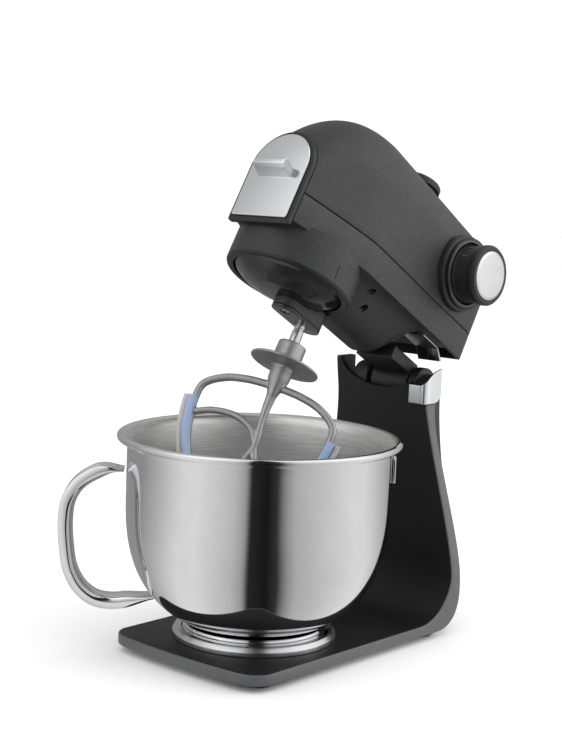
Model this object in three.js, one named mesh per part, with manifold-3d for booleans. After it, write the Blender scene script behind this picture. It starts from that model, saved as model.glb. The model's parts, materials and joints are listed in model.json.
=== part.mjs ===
// Tilt-head stand mixer. Millimetres, +Z up, nose towards -Y, speed knob on +X.
// The group is shifted at the end, so that the origin is the bottom centre of the whole mixer.
import * as THREE from "three";
import { mergeVertices } from "three/addons/utils/BufferGeometryUtils.js";
import Module from "manifold-3d";

const wasm = await Module();
wasm.setup();

// ---------------------------------------------------------------- driving dimensions

const GAP = 0.35;                 // clearance between neighbouring pieces

const FOOT_HEIGHT = 5.5;
const SLAB_TOP = 14.6;
const SLAB_HALF_WIDTH = 83.6;
const SLAB_FRONT = -86;
const SLAB_BOW = 4;
const COLUMN_TOP = 235;
const COLUMN_HALF_WIDTH = 50.3;
const COLUMN_WAIST_Z = 205;

const HINGE_Y = 175.5;
const HINGE_Z = 216;
const TILT = THREE.MathUtils.degToRad(30.5);

const HEAD_HALF_WIDTH = 55;
const HEAD_EDGE_Z = 32.5;
const HEAD_SPLIT_Z = 58;
const HEAD_TOP_Z = 157;
const HEAD_REAR = -14.5;
const HEAD_NOSE = 231;
const HEAD_WALL = 3;
const BELLY_DEPTH = 32.5;
const BELLY_REAR = 46;
const BAY_FRONT = 12;
const BELLY_STEP = 0.6;

const PLANET_S = 175.5;
const SKIRT_RADIUS = 54.7;
const SKIRT_BOTTOM = 4.2;
const ORBIT_RADIUS = 35;
const RING_TEETH = 40;
const PLANET_TEETH = 10;
const PLANET_MODULE = 2 * ORBIT_RADIUS / (RING_TEETH - PLANET_TEETH);
const MAIN_TEETH = 30;
const PINION_TEETH = 10;
const MAIN_MODULE = 2.7;
const LAYSHAFT_S = PLANET_S - MAIN_MODULE * (MAIN_TEETH + PINION_TEETH) / 2;
const MOTOR_S = 68.5;
const MOTOR_PULLEY_RADIUS = 9;
const LAYSHAFT_PULLEY_RADIUS = 27;

const BEATER_ANGLE = THREE.MathUtils.degToRad(-29.4);

const BOWL_RADIUS = 109.5;
const BOWL_RIM_Z = 184;
const BOWL_RIM_RADIUS = 118;
const BOWL_WALL = 1.2;
const BOWL_SHOULDER_Z = 130;
const BOWL_DEPTH = 112;
const BOWL_FLOOR = 28;
const BOWL_TWIST = THREE.MathUtils.degToRad(30);
const HANDLE_ANGLE = THREE.MathUtils.degToRad(224);
const LUG_ANGLES = [0, 1, 2].map((i) => i * 2 * Math.PI / 3);

const KNOB_S = 34.5;
const KNOB_Z = 96;

// ---------------------------------------------------------------- materials

const MATERIALS = {
  body_paint: { color: 0x2f3032, roughness: 0.55, metalness: 0.1 },
  black_plastic: { color: 0x141416, roughness: 0.6, metalness: 0 },
  chrome: { color: 0xd8dadc, roughness: 0.12, metalness: 1 },
  satin_steel: { color: 0xb9bbbe, roughness: 0.3, metalness: 1 },
  polished_steel: { color: 0xc9cbce, roughness: 0.1, metalness: 1 },
  steel: { color: 0x9a9da1, roughness: 0.35, metalness: 1 },
  cast_aluminium: { color: 0x8c8e90, roughness: 0.5, metalness: 0.8 },
  blue_silicone: { color: 0x8aa0c0, roughness: 0.6, metalness: 0 },
  grey_silicone: { color: 0xbfbebd, roughness: 0.6, metalness: 0 },
  rubber: { color: 0x3a3b3d, roughness: 0.9, metalness: 0 },
  gear_plastic: { color: 0xe3e0d4, roughness: 0.5, metalness: 0 },
  copper: { color: 0xa86a3a, roughness: 0.4, metalness: 0.9 },
  board_green: { color: 0x1f5a3a, roughness: 0.6, metalness: 0 },
};

function material(name) {
  const made = new THREE.MeshStandardMaterial(MATERIALS[name]);
  made.name = name;
  return made;
}

// ---------------------------------------------------------------- solids and geometry

function signedVolume(geometry) {
  const position = geometry.attributes.position;
  const index = geometry.index;
  const a = new THREE.Vector3();
  const b = new THREE.Vector3();
  const c = new THREE.Vector3();
  let total = 0;
  for (let i = 0; i < index.count; i += 3) {
    a.fromBufferAttribute(position, index.getX(i));
    b.fromBufferAttribute(position, index.getX(i + 1));
    c.fromBufferAttribute(position, index.getX(i + 2));
    total += a.dot(b.cross(c));
  }
  return total / 6;
}

// Welds a geometry and turns its faces outwards.
function welded(source) {
  const bare = source.clone();
  bare.deleteAttribute("normal");
  bare.deleteAttribute("uv");
  const geometry = mergeVertices(bare, 1e-4);
  const kept = [];
  const index = geometry.index.array;
  for (let i = 0; i < index.length; i += 3) {
    const [a, b, c] = [index[i], index[i + 1], index[i + 2]];
    if (a !== b && b !== c && c !== a) kept.push(a, b, c);
  }
  geometry.setIndex(kept);
  if (signedVolume(geometry) < 0) {
    for (let i = 0; i < kept.length; i += 3) [kept[i], kept[i + 1]] = [kept[i + 1], kept[i]];
    geometry.setIndex(kept);
  }
  return geometry;
}

function solid(source) {
  const geometry = welded(source);
  const mesh = new wasm.Mesh({
    numProp: 3,
    vertProperties: new Float32Array(geometry.attributes.position.array),
    triVerts: new Uint32Array(geometry.index.array),
  });
  return new wasm.Manifold(mesh);
}

function geometryOf(manifold) {
  const mesh = manifold.getMesh();
  const geometry = new THREE.BufferGeometry();
  geometry.setAttribute("position", new THREE.BufferAttribute(new Float32Array(mesh.vertProperties), 3));
  geometry.setIndex(new THREE.BufferAttribute(new Uint32Array(mesh.triVerts), 1));
  geometry.computeVertexNormals();
  return geometry;
}

function join(first, ...others) {
  return geometryOf(others.reduce((sum, other) => sum.add(solid(other)), solid(first)));
}

function cut(first, ...others) {
  return geometryOf(others.reduce((rest, other) => rest.subtract(solid(other)), solid(first)));
}

function clip(first, ...others) {
  return geometryOf(others.reduce((rest, other) => rest.intersect(solid(other)), solid(first)));
}

function box(x0, x1, y0, y1, z0, z1) {
  const geometry = new THREE.BoxGeometry(x1 - x0, y1 - y0, z1 - z0);
  return geometry.translate((x0 + x1) / 2, (y0 + y1) / 2, (z0 + z1) / 2);
}

// Extrusion upwards from an outline in X and Y.
function slabFrom(shape, z0, z1, segments = 12) {
  const options = { depth: z1 - z0, bevelEnabled: false, curveSegments: segments };
  return new THREE.ExtrudeGeometry(shape, options).translate(0, 0, z0);
}

// Extrusion along X from an outline in Y and Z.
function sideways(shape, x0, x1, segments = 12) {
  const geometry = slabFrom(shape, x0, x1, segments);
  const turn = new THREE.Matrix4().makeBasis(
    new THREE.Vector3(0, 1, 0), new THREE.Vector3(0, 0, 1), new THREE.Vector3(1, 0, 0));
  return geometry.applyMatrix4(turn);
}

// Extrusion along +Y from an outline in X and Z.
function lengthways(shape, y0, y1, segments = 12, steps = 1) {
  const options = { depth: y1 - y0, bevelEnabled: false, curveSegments: segments, steps };
  const geometry = new THREE.ExtrudeGeometry(shape, options);
  return geometry.rotateX(Math.PI / 2).translate(0, y1, 0);
}

// Solid of revolution about Z from [radius, z] pairs.
function turned(profile, segments = 24) {
  const points = profile.map(([radius, z]) => new THREE.Vector2(radius, z));
  return new THREE.LatheGeometry(points, segments).rotateX(Math.PI / 2);
}

// Ring of rectangular section about Z.
function ring(inner, outer, z0, z1, segments = 28) {
  return turned([[inner, z0], [outer, z0], [outer, z1], [inner, z1], [inner, z0]], segments);
}

function rod(radius, z0, z1, segments = 16) {
  return turned([[0, z0], [radius, z0], [radius, z1], [0, z1]], segments);
}

// Turns a solid made about Z so that it lies along X.
function alongX(geometry) {
  return geometry.rotateY(Math.PI / 2);
}

function outline(points) {
  return new THREE.Shape(points.map(([x, y]) => new THREE.Vector2(x, y)));
}

function stadium(x, y0, y1, radius) {
  const shape = new THREE.Shape();
  shape.absarc(x, y1, radius, 0, Math.PI);
  shape.absarc(x, y0, radius, Math.PI, 2 * Math.PI);
  return shape;
}

// Flat-bottomed arch standing on z0, with a half-round top.
function arch(halfWidth, z0, top) {
  const shape = new THREE.Shape();
  shape.moveTo(halfWidth, z0);
  shape.lineTo(halfWidth, top - halfWidth);
  shape.absarc(0, top - halfWidth, halfWidth, 0, Math.PI);
  shape.lineTo(-halfWidth, z0);
  return shape;
}

// Straight-sided gear outline; phase is in teeth.
function gearShape(teeth, module, centre, phase = 0, addendum = 0.75, thickness = 0.36) {
  const pitch = module * teeth / 2;
  const points = [];
  for (let tooth = 0; tooth < teeth; tooth += 1) {
    for (const [offset, height] of [[-0.62, -0.95], [-0.34, addendum], [0.34, addendum], [0.62, -0.95]]) {
      const angle = 2 * Math.PI * (tooth + phase + offset * thickness) / teeth;
      const radius = pitch + height * module;
      points.push([centre[0] + radius * Math.cos(angle), centre[1] + radius * Math.sin(angle)]);
    }
  }
  return outline(points);
}

function add(group, name, geometry, materialName) {
  const mesh = new THREE.Mesh(geometry, material(materialName));
  mesh.name = name;
  group.add(mesh);
}

// ---------------------------------------------------------------- base and column

// Back edge of the bent plate, from its underside at y = 148 up to the top of the column.
function plateBack(path) {
  path.bezierCurveTo(168, FOOT_HEIGHT, 178.5, 18, 178.5, 38);
  path.bezierCurveTo(178.5, 90, 178, 120, 175.5, 150);
  path.bezierCurveTo(172, 178, 170.5, 192, 175, 208);
  path.lineTo(178, 222);
  path.lineTo(178, COLUMN_TOP);
}

function plateSide() {
  const shape = new THREE.Shape();
  shape.moveTo(-110, FOOT_HEIGHT);
  shape.lineTo(148, FOOT_HEIGHT);
  plateBack(shape);
  shape.lineTo(155, COLUMN_TOP);
  shape.bezierCurveTo(157, 210, 166.5, 170, 166.5, 110);
  shape.lineTo(166, 58);
  shape.absarc(123, SLAB_TOP + 43, 43, 0, -Math.PI / 2, true);
  shape.lineTo(-110, SLAB_TOP);
  return shape;
}

// Front view of the base: wide slab, sides sweeping in to the slim top of the column.
function plateFront(inset = 0, z0 = 0, z1 = COLUMN_TOP) {
  const low = SLAB_HALF_WIDTH - inset;
  const high = COLUMN_HALF_WIDTH - inset;
  const shape = new THREE.Shape();
  shape.moveTo(low, z0);
  shape.lineTo(low, 44);
  shape.bezierCurveTo(low, 80, high + 4, 140, high, COLUMN_WAIST_Z);
  shape.lineTo(high, z1);
  shape.lineTo(-high, z1);
  shape.lineTo(-high, COLUMN_WAIST_Z);
  shape.bezierCurveTo(-high - 4, 140, -low, 80, -low, 44);
  shape.lineTo(-low, z0);
  return shape;
}

function platePlan() {
  const corner = 24;
  const half = SLAB_HALF_WIDTH;
  const shape = new THREE.Shape();
  shape.moveTo(half, 200);
  shape.lineTo(-half, 200);
  shape.lineTo(-half, SLAB_FRONT + corner);
  shape.bezierCurveTo(-half, SLAB_FRONT + 6, -half + 8, SLAB_FRONT - 1, -half + corner, SLAB_FRONT - 2);
  shape.quadraticCurveTo(0, SLAB_FRONT - 2 * SLAB_BOW, half - corner, SLAB_FRONT - 2);
  shape.bezierCurveTo(half - 8, SLAB_FRONT - 1, half, SLAB_FRONT + 6, half, SLAB_FRONT + corner);
  return shape;
}

const FOOT_PLACES = [[-64, -62], [64, -62], [-66, 146], [66, 146]];

function baseFrame() {
  const blank = clip(
    sideways(plateSide(), -100, 100, 7),
    lengthways(plateFront(), -120, 220, 7),
    slabFrom(platePlan(), 0, COLUMN_TOP + 1, 6));
  const scoop = new THREE.Shape();
  scoop.absellipse(0, COLUMN_TOP + 3, 46, 26, 0, 2 * Math.PI);
  const socket = () => rod(11.4, FOOT_HEIGHT - 1, FOOT_HEIGHT + 1.5);
  const footSockets = FOOT_PLACES.map(([x, y]) => socket().translate(x, y, 0));
  return cut(
    blank,
    lengthways(scoop, 140, 172, 12),
    box(-46, 46, 160.5, 190, 194, COLUMN_TOP + 1),
    box(33.5, 60, 140, 190, 200.6, COLUMN_TOP + 1),
    box(-52, 52, -80, 135, FOOT_HEIGHT - 1, FOOT_HEIGHT + 5),
    ...footSockets);
}

function bottomPlate() {
  return box(-52 + GAP, 52 - GAP, -80 + GAP, 135 - GAP, FOOT_HEIGHT + 0.1, FOOT_HEIGHT + 2.1);
}

function foot(x, y) {
  const sink = FOOT_HEIGHT + 1.1;
  return turned([[0, 0], [9, 0], [10.6, 1.4], [11, sink], [0, sink]], 28).translate(x, y, 0);
}

// Bulged shell closing the back of the column.
function rearCoverBlank(inset, z0, z1) {
  const steps = 5;
  const half = new THREE.Shape();
  half.moveTo(1, 150);
  half.lineTo(1, 178);
  half.bezierCurveTo(0.98, 194 - inset, 0.62, 206 - inset, 0, 206 - inset);
  half.bezierCurveTo(-0.62, 206 - inset, -0.98, 194 - inset, -1, 178);
  half.lineTo(-1, 150);
  const options = { depth: z1 - z0, bevelEnabled: false, curveSegments: 6, steps };
  const geometry = new THREE.ExtrudeGeometry(half, options).translate(0, 0, z0);
  const position = geometry.attributes.position;
  for (let i = 0; i < position.count; i += 1) {
    const z = position.getZ(i);
    const rise = THREE.MathUtils.smoothstep(z, 30, COLUMN_WAIST_Z);
    const width = THREE.MathUtils.lerp(SLAB_HALF_WIDTH - 14, COLUMN_HALF_WIDTH - 3.5, rise) - inset;
    position.setX(i, position.getX(i) * width);
  }
  return geometry;
}

function columnRearCover() {
  const behind = new THREE.Shape();
  behind.moveTo(148, FOOT_HEIGHT);
  plateBack(behind);
  behind.lineTo(230, COLUMN_TOP);
  behind.lineTo(230, FOOT_HEIGHT);
  const keep = sideways(behind, -100, 100, 7).translate(0, GAP, 0);
  const shell = cut(
    rearCoverBlank(0, 30, 212),
    rearCoverBlank(3, 33, 209),
    box(-46, 46, 150, 203, 190, 214));
  return clip(shell, keep, box(-90, 90, 172, 230, 0, 240));
}

function clampRing() {
  const lip = turned([
    [63.6, SLAB_TOP + GAP], [68.5, SLAB_TOP + GAP], [68.5, 18.6], [65.4, 22.1],
    [60.6, 22.1], [60.6, 19.6], [63.6, 19.6], [63.6, SLAB_TOP + GAP],
  ], 32);
  const notch = (angle) => box(56, 63.5, -13, 13, 15.5, 24).rotateZ(angle);
  return cut(lip, ...LUG_ANGLES.map((angle) => notch(BOWL_TWIST + angle)));
}

function buildBase(group) {
  add(group, "base_frame", baseFrame(), "body_paint");
  add(group, "base_bottom_plate", bottomPlate(), "black_plastic");
  FOOT_PLACES.forEach(([x, y], i) => add(group, `foot_${i + 1}`, foot(x, y), "rubber"));
  add(group, "column_rear_cover", columnRearCover(), "black_plastic");
  add(group, "bowl_clamp_ring", clampRing(), "satin_steel");
  const gland = turned([[0, 0], [7.5, 0], [7.5, 4], [5.5, 5], [4.6, 20], [0, 20]], 24);
  add(group, "cord_gland", gland.rotateX(-Math.PI / 2).translate(0, 206.4, 52), "rubber");
}

// ---------------------------------------------------------------- hinge and release lever

const BARREL_RADIUS = 15;
const PIN_RADIUS = 4;

function knuckle(x0, x1) {
  const eye = alongX(ring(PIN_RADIUS + GAP, BARREL_RADIUS, x0, x1, 20));
  const web = box(x0, x1, -6, 12, -21.4, -8);
  const hole = alongX(rod(PIN_RADIUS + GAP, x0 - 1, x1 + 1, 20));
  return cut(join(eye, web), hole).translate(0, HINGE_Y, HINGE_Z);
}

function leverPlate() {
  const plan = new THREE.Shape();
  plan.moveTo(35, -22);
  plan.lineTo(46, -22);
  plan.quadraticCurveTo(53, -22, 53.2, -14);
  plan.lineTo(53.2, 1.5);
  plan.lineTo(50.9, 1.5);
  plan.lineTo(50.9, -13);
  plan.quadraticCurveTo(50.6, -19.6, 46, -19.7);
  plan.lineTo(35, -19.7);
  const side = new THREE.Shape();
  side.moveTo(-23, -14.2);
  side.lineTo(-8, -14.2);
  side.quadraticCurveTo(1.6, -13, 1.6, -4);
  side.lineTo(1.6, 16);
  side.lineTo(-7, 13.5);
  side.quadraticCurveTo(-16, 9, -23, 1);
  return clip(slabFrom(plan, -30, 30, 6), sideways(side, 30, 60, 6));
}

function leverCore() {
  const side = new THREE.Shape();
  side.moveTo(-19.3, -13.5);
  side.lineTo(-9, -13.5);
  side.quadraticCurveTo(6, -13, 9, -4);
  side.absarc(0, 0, 9.8, -0.42, Math.PI * 0.5);
  side.lineTo(-10, 6);
  side.lineTo(-19.3, 0);
  const block = sideways(side, 37.5, 45.6, 6);
  return cut(block, alongX(rod(PIN_RADIUS + GAP, 30, 60, 16)));
}

function buildHinge(base, lever) {
  add(base, "hinge_knuckle_left", knuckle(-35, -19), "black_plastic");
  add(base, "hinge_knuckle_right", knuckle(28, 36.5), "black_plastic");
  const pin = alongX(rod(PIN_RADIUS, -39, 47.5, 16)).translate(0, HINGE_Y, HINGE_Z);
  add(base, "hinge_pin", pin, "steel");
  add(lever, "lever_plate", leverPlate(), "chrome");
  add(lever, "lever_core", leverCore(), "black_plastic");
}

// ---------------------------------------------------------------- head shells
// In the head's own frame the hinge is the origin and s, the distance forward, is -Y.

function rearRounding(s) {
  return THREE.MathUtils.clamp((HEAD_REAR + 13.5 - s) / 13.5, 0, 1) ** 2.5;
}

function headHalfWidth(s) {
  const taper = THREE.MathUtils.clamp((s - 150) / (HEAD_NOSE - 150), 0, 1) ** 1.2;
  return HEAD_HALF_WIDTH - 22 * taper - 4 * rearRounding(s);
}

function headTop(s) {
  const rise = THREE.MathUtils.clamp(s / 150, 0, 1);
  const drop = THREE.MathUtils.clamp((s - 135) / (HEAD_NOSE - 135), 0, 1) ** 3;
  return HEAD_TOP_Z + 5 * rise - 50 * drop - 5 * rearRounding(s);
}

function bellyDepth(s) {
  const fade = THREE.MathUtils.smoothstep(s, 118, 215);
  return THREE.MathUtils.lerp(BELLY_DEPTH, 5, fade);
}

// Lofts a unit section along the head; place gives the position of a section point at station s.
function loft(section, s0, s1, steps, place) {
  const options = { depth: 1, bevelEnabled: false, curveSegments: 6, steps };
  const geometry = new THREE.ExtrudeGeometry(section, options);
  const position = geometry.attributes.position;
  for (let i = 0; i < position.count; i += 1) {
    const s = THREE.MathUtils.lerp(s0, s1, position.getZ(i));
    const [x, z] = place(position.getX(i), position.getY(i), s);
    position.setXYZ(i, x, -s, z);
  }
  return geometry;
}

// Arched body above the side edge: a section 2 wide whose arch starts at height 1.
function archLoft(inset, s0, s1, floor, steps = 10) {
  const section = arch(1, 0, 2);
  return loft(section, s0, s1, steps, (x, y, s) => {
    const half = headHalfWidth(s) - inset;
    const shoulder = headTop(s) - headHalfWidth(s);
    const z = y < 1 ? THREE.MathUtils.lerp(floor, shoulder, y) : shoulder + (y - 1) * half;
    return [x * half, z];
  });
}

// Section of the belly, 2 wide and 1 deep: flat at its sides and bulging in the middle.
function bellySection() {
  const points = [[1, 0.02], [-1, 0.02]];
  for (let i = 0; i <= 14; i += 1) {
    const x = i / 7 - 1;
    points.push([x, THREE.MathUtils.smoothstep(Math.abs(x), 0.1, 1) - 1]);
  }
  return outline(points);
}

// Belly below the side edge, or the hollow that lies inset from its sides and above its underside.
function bellyLoft(inset, s0, s1, steps = 7) {
  return loft(bellySection(), s0, s1, steps, (x, y, s) => {
    const half = headHalfWidth(s) - BELLY_STEP - inset;
    return [x * half, HEAD_EDGE_Z + inset + (y > 0 ? 1 : y * bellyDepth(s))];
  });
}

// Moves a solid made about Z to the planet drive's axis.
function atPlanet(geometry) {
  return geometry.translate(0, -PLANET_S, 0);
}

const SCREW_PLACES = [[122.5, 43], [110.5, 31], [15, 37]];

function screwHoles() {
  const hole = (x, s) => rod(3.6, 0, 40, 12).translate(x, -s, 0);
  return SCREW_PLACES.flatMap(([s, x]) => [hole(x, s), hole(-x, s)]);
}

// Arched hole in the nose, behind the front bezel.
function noseWindow() {
  return lengthways(arch(29, 38, 104.5), -240, -220);
}

// Side view of the lower housing, with a rounded lower corner at its rear.
function lowerHousingSide() {
  const rear = 0.1 - HEAD_REAR;
  const corner = 12;
  const shape = new THREE.Shape();
  shape.moveTo(-250, -5);
  shape.lineTo(rear - corner, -5);
  shape.lineTo(rear - corner, HEAD_EDGE_Z);
  shape.quadraticCurveTo(rear, HEAD_EDGE_Z, rear, HEAD_EDGE_Z + corner);
  shape.lineTo(rear, HEAD_SPLIT_Z - GAP / 2);
  shape.lineTo(-250, HEAD_SPLIT_Z - GAP / 2);
  return shape;
}

function headLowerHousing() {
  const outer = join(
    archLoft(0, HEAD_REAR, HEAD_NOSE, HEAD_EDGE_Z),
    bellyLoft(0, BELLY_REAR, 222),
    atPlanet(rod(SKIRT_RADIUS, SKIRT_BOTTOM, HEAD_EDGE_Z + 2, 36)));
  const inner = join(
    archLoft(HEAD_WALL, HEAD_REAR + HEAD_WALL, HEAD_NOSE - HEAD_WALL, HEAD_EDGE_Z + HEAD_WALL),
    bellyLoft(HEAD_WALL, BELLY_REAR + HEAD_WALL, 216),
    atPlanet(rod(SKIRT_RADIUS - HEAD_WALL, -20, HEAD_EDGE_Z + HEAD_WALL + 1, 36)));
  const rearBay = archLoft(HEAD_WALL, HEAD_REAR + HEAD_WALL, BAY_FRONT, HEAD_EDGE_Z - 5, 3);
  const shell = clip(outer, sideways(lowerHousingSide(), -80, 80, 5));
  return cut(shell, inner, rearBay, noseWindow(), ...screwHoles());
}

function topPanelPlan(grow) {
  const front = 118 + grow;
  const half = 36 + grow;
  const shape = new THREE.Shape();
  shape.moveTo(half, 30);
  shape.lineTo(-half, 30);
  shape.lineTo(-half, -front + 30);
  shape.bezierCurveTo(-half, -front + 8, -half + 12, -front, 0, -front);
  shape.bezierCurveTo(half - 12, -front, half, -front + 8, half, -front + 30);
  return shape;
}

function headShellUpper() {
  return cut(
    archLoft(0, HEAD_REAR, HEAD_NOSE, HEAD_EDGE_Z),
    archLoft(HEAD_WALL, HEAD_REAR + HEAD_WALL, HEAD_NOSE - HEAD_WALL, HEAD_EDGE_Z));
}

function headUpperCover() {
  const keep = box(-80, 80, -250, 40, HEAD_SPLIT_Z + GAP / 2, 170);
  return cut(
    clip(headShellUpper(), keep),
    slabFrom(topPanelPlan(GAP), 118, 170, 8),
    noseWindow(),
    alongX(rod(7, 40, 70)).translate(0, -KNOB_S, KNOB_Z));
}

function topPanel() {
  const portHole = rod(19, 140, 170, 24).translate(0, -MOTOR_S, 0);
  return cut(clip(headShellUpper(), slabFrom(topPanelPlan(0), 118 + GAP, 170, 8)), portHole);
}

function portCap() {
  const cap = turned([
    [0, 153], [18.5, 153], [18.5, 160.4], [21, 160.4], [21, 165], [19.5, 167], [0, 167.6],
  ], 24);
  return cap.translate(0, -MOTOR_S, 0);
}

function frontBezel() {
  const frame = lengthways(arch(33, 27, 112), -236, -HEAD_NOSE - GAP, 8);
  const seat = lengthways(arch(30, 31.2, 109), -240, -HEAD_NOSE - 2, 8);
  const plug = lengthways(arch(28.6, 39, 104), -HEAD_NOSE - 2, -225, 8);
  const drive = alongX(rod(19, -250, -200, 24)).rotateZ(Math.PI / 2).translate(0, 0, 74);
  return cut(join(cut(frame, seat), plug), drive);
}

// Plan of the pull bar, with rounded outer corners.
function pullBarPlan(half, front, back) {
  const shape = new THREE.Shape();
  shape.moveTo(-half, back);
  shape.lineTo(-half, front + 6);
  shape.quadraticCurveTo(-half, front + 1.5, -half + 7, front + 1.5);
  shape.lineTo(half - 7, front + 1.5);
  shape.quadraticCurveTo(half, front + 1.5, half, front + 6);
  shape.lineTo(half, back);
  return shape;
}

function hubCover() {
  const plate = lengthways(arch(29.6, 31.5, 108.6), -238, -HEAD_NOSE - 2.4, 8);
  const bar = new THREE.Shape();
  bar.moveTo(-237, 67.5);
  bar.lineTo(-247, 71.5);
  bar.quadraticCurveTo(-250.5, 73, -250.5, 76);
  bar.quadraticCurveTo(-250.5, 80, -246, 79);
  bar.lineTo(-237, 76);
  const grip = clip(sideways(bar, -17, 17, 6), slabFrom(pullBarPlan(17, -252, -236), 50, 95, 6));
  return join(plate, grip);
}

function hingeBarrel() {
  const eye = alongX(rod(BARREL_RADIUS, -14, 26, 20));
  const arm = box(-14, 26, -(BELLY_REAR - GAP), -6, 3, 15);
  const hole = alongX(rod(PIN_RADIUS + GAP, -30, 40, 16));
  return cut(join(eye, arm), hole);
}

function latchBracket() {
  const plate = new THREE.Shape();
  const top = HEAD_EDGE_Z - GAP;
  plate.moveTo(-40, top - 2);
  plate.lineTo(-15, top - 2);
  plate.lineTo(-5, 22);
  plate.lineTo(-3, 23);
  plate.lineTo(-13, top);
  plate.lineTo(-40, top);
  return sideways(plate, 22, 46);
}

function buildHeadShells(group) {
  add(group, "head_lower_housing", headLowerHousing(), "body_paint");
  add(group, "head_upper_cover", headUpperCover(), "body_paint");
  add(group, "head_top_panel", topPanel(), "body_paint");
  add(group, "front_bezel", frontBezel(), "black_plastic");
  add(group, "hinge_barrel", hingeBarrel(), "black_plastic");
  add(group, "latch_bracket", latchBracket(), "satin_steel");
}

// ---------------------------------------------------------------- drive train

const SHAFT_RADIUS = 4.85;

function gearboxPlate() {
  const plan = new THREE.Shape();
  const rear = -52;
  const front = -212;
  plan.moveTo(46, rear);
  plan.lineTo(-46, rear);
  plan.lineTo(-46, -165);
  plan.lineTo(-33, front);
  plan.lineTo(33, front);
  plan.lineTo(46, -165);
  return cut(
    slabFrom(plan, 60, 63),
    rod(6.4, 55, 70).translate(0, -PLANET_S, 0),
    rod(5.4, 55, 70).translate(0, -LAYSHAFT_S, 0),
    rod(6, 55, 70).translate(0, -MOTOR_S, 0));
}

function motorRotor() {
  const profile = [
    [0, 57.5], [4, 57.5], [4, 70], [16, 70], [16, 106], [4, 106], [4, 140], [8, 140], [8, 152], [0, 152],
  ];
  return turned(profile, 24);
}

function motorStator() {
  const can = ring(17.2, 40, 66, 112, 28);
  const flats = [box(-50, 50, 33, 60, 60, 120), box(-50, 50, -60, -33, 60, 120)];
  return cut(can, ...flats);
}

function beltLoop() {
  const z0 = 49.5;
  const z1 = 55;
  const distance = LAYSHAFT_S - MOTOR_S;
  const lean = Math.asin((LAYSHAFT_PULLEY_RADIUS - MOTOR_PULLEY_RADIUS) / distance);
  const loop = (grow) => {
    const shape = new THREE.Shape();
    shape.absarc(0, -LAYSHAFT_S, LAYSHAFT_PULLEY_RADIUS + grow, Math.PI - lean, 2 * Math.PI + lean);
    shape.absarc(0, -MOTOR_S, MOTOR_PULLEY_RADIUS + grow, lean, Math.PI - lean);
    return shape;
  };
  return cut(slabFrom(loop(2.2), z0, z1, 9), slabFrom(loop(0.3), z0 - 1, z1 + 1, 9));
}

function pulley(radius, bore) {
  return ring(bore, radius, 48.5, 56, 32);
}

function layshaft() {
  const shaft = rod(5, 30, 66, 24);
  const wheel = rod(LAYSHAFT_PULLEY_RADIUS, 48.5, 56, 28);
  const pinion = slabFrom(gearShape(PINION_TEETH, MAIN_MODULE, [0, 0], 0), 35, 46);
  return join(shaft, wheel, pinion);
}

function mainGear() {
  const quarterTurn = 0.25 * MAIN_TEETH;
  const wheel = slabFrom(gearShape(MAIN_TEETH, MAIN_MODULE, [0, 0], quarterTurn), 36.5, 44.5);
  return cut(wheel, rod(6 + GAP, 30, 50));
}

function planetShaft() {
  return rod(6, 30, 68, 24);
}

function ringGear() {
  const teeth = gearShape(RING_TEETH, PLANET_MODULE, [0, 0], 0.5, 0.95, 0.64);
  return cut(rod(SKIRT_RADIUS - HEAD_WALL - GAP, 20, 28, 36), slabFrom(teeth, 19, 29));
}

function planetDome() {
  const profile = [
    [0, -8.5], [22, -7.5], [36, -3.5], [44.5, 1.5], [47.8, 5], [47.8, 8], [45, 8],
    [35, 0], [11, -4.6], [11, 12], [0, 12],
  ];
  const boss = rod(9, 2.2, 12, 20).translate(0, ORBIT_RADIUS, 0);
  const bore = rod(SHAFT_RADIUS + GAP, -20, 40, 24).translate(0, ORBIT_RADIUS, 0);
  const neck = rod(6.3 + GAP, 8, 40, 24);
  return cut(join(turned(profile, 30), boss), bore, neck);
}

function carrierSpindle() {
  return rod(6.3, 8 + GAP, 29.6, 24);
}

function armPlan() {
  return stadium(0, 9.5, 42.5, 11.5);
}

function carrierArm() {
  const block = slabFrom(armPlan(), -15.4, -9, 8);
  const tall = slabFrom(armPlan(), -15.4, 0, 8);
  const domeSpace = turned([
    [0, 20], [0, -8.9], [22, -7.9], [36, -3.9], [44.5, 1.1], [48.2, 4.6], [60, 12], [60, 20], [0, 20],
  ], 30);
  const underDome = cut(tall, domeSpace);
  return cut(join(block, underDome), rod(SHAFT_RADIUS + GAP, -30, 10).translate(0, ORBIT_RADIUS, 0));
}

function armCap() {
  const plate = slabFrom(armPlan(), -17.6, -15.4 - GAP, 8);
  return cut(
    plate,
    rod(SHAFT_RADIUS + GAP, -30, 10).translate(0, ORBIT_RADIUS, 0),
    rod(4.6, -30, -10).translate(0, 11, 0));
}

function armScrew() {
  const head = rod(4.2, -17.2, -15.8, 20);
  const slot = box(-0.6, 0.6, -3, 3, -17.6, -16.6);
  return cut(head, slot).translate(0, 11, 0);
}

function outputShaft() {
  const shaft = rod(SHAFT_RADIUS, -60, 30, 16);
  const hole = alongX(rod(1.3 + GAP, -10, 10, 12)).rotateZ(-BEATER_ANGLE).translate(0, 0, -41);
  return cut(shaft, hole);
}

// Pin through the shaft, in line with the beater's slot.
function crossPin() {
  return alongX(rod(1.3, -8.5, 8.5, 12)).rotateZ(-BEATER_ANGLE).translate(0, 0, -41);
}

function planetGear() {
  const gear = slabFrom(gearShape(PLANET_TEETH, PLANET_MODULE, [0, 0], 0), 20.5, 27.5);
  return cut(gear, rod(SHAFT_RADIUS + GAP, 10, 40, 16));
}

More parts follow.
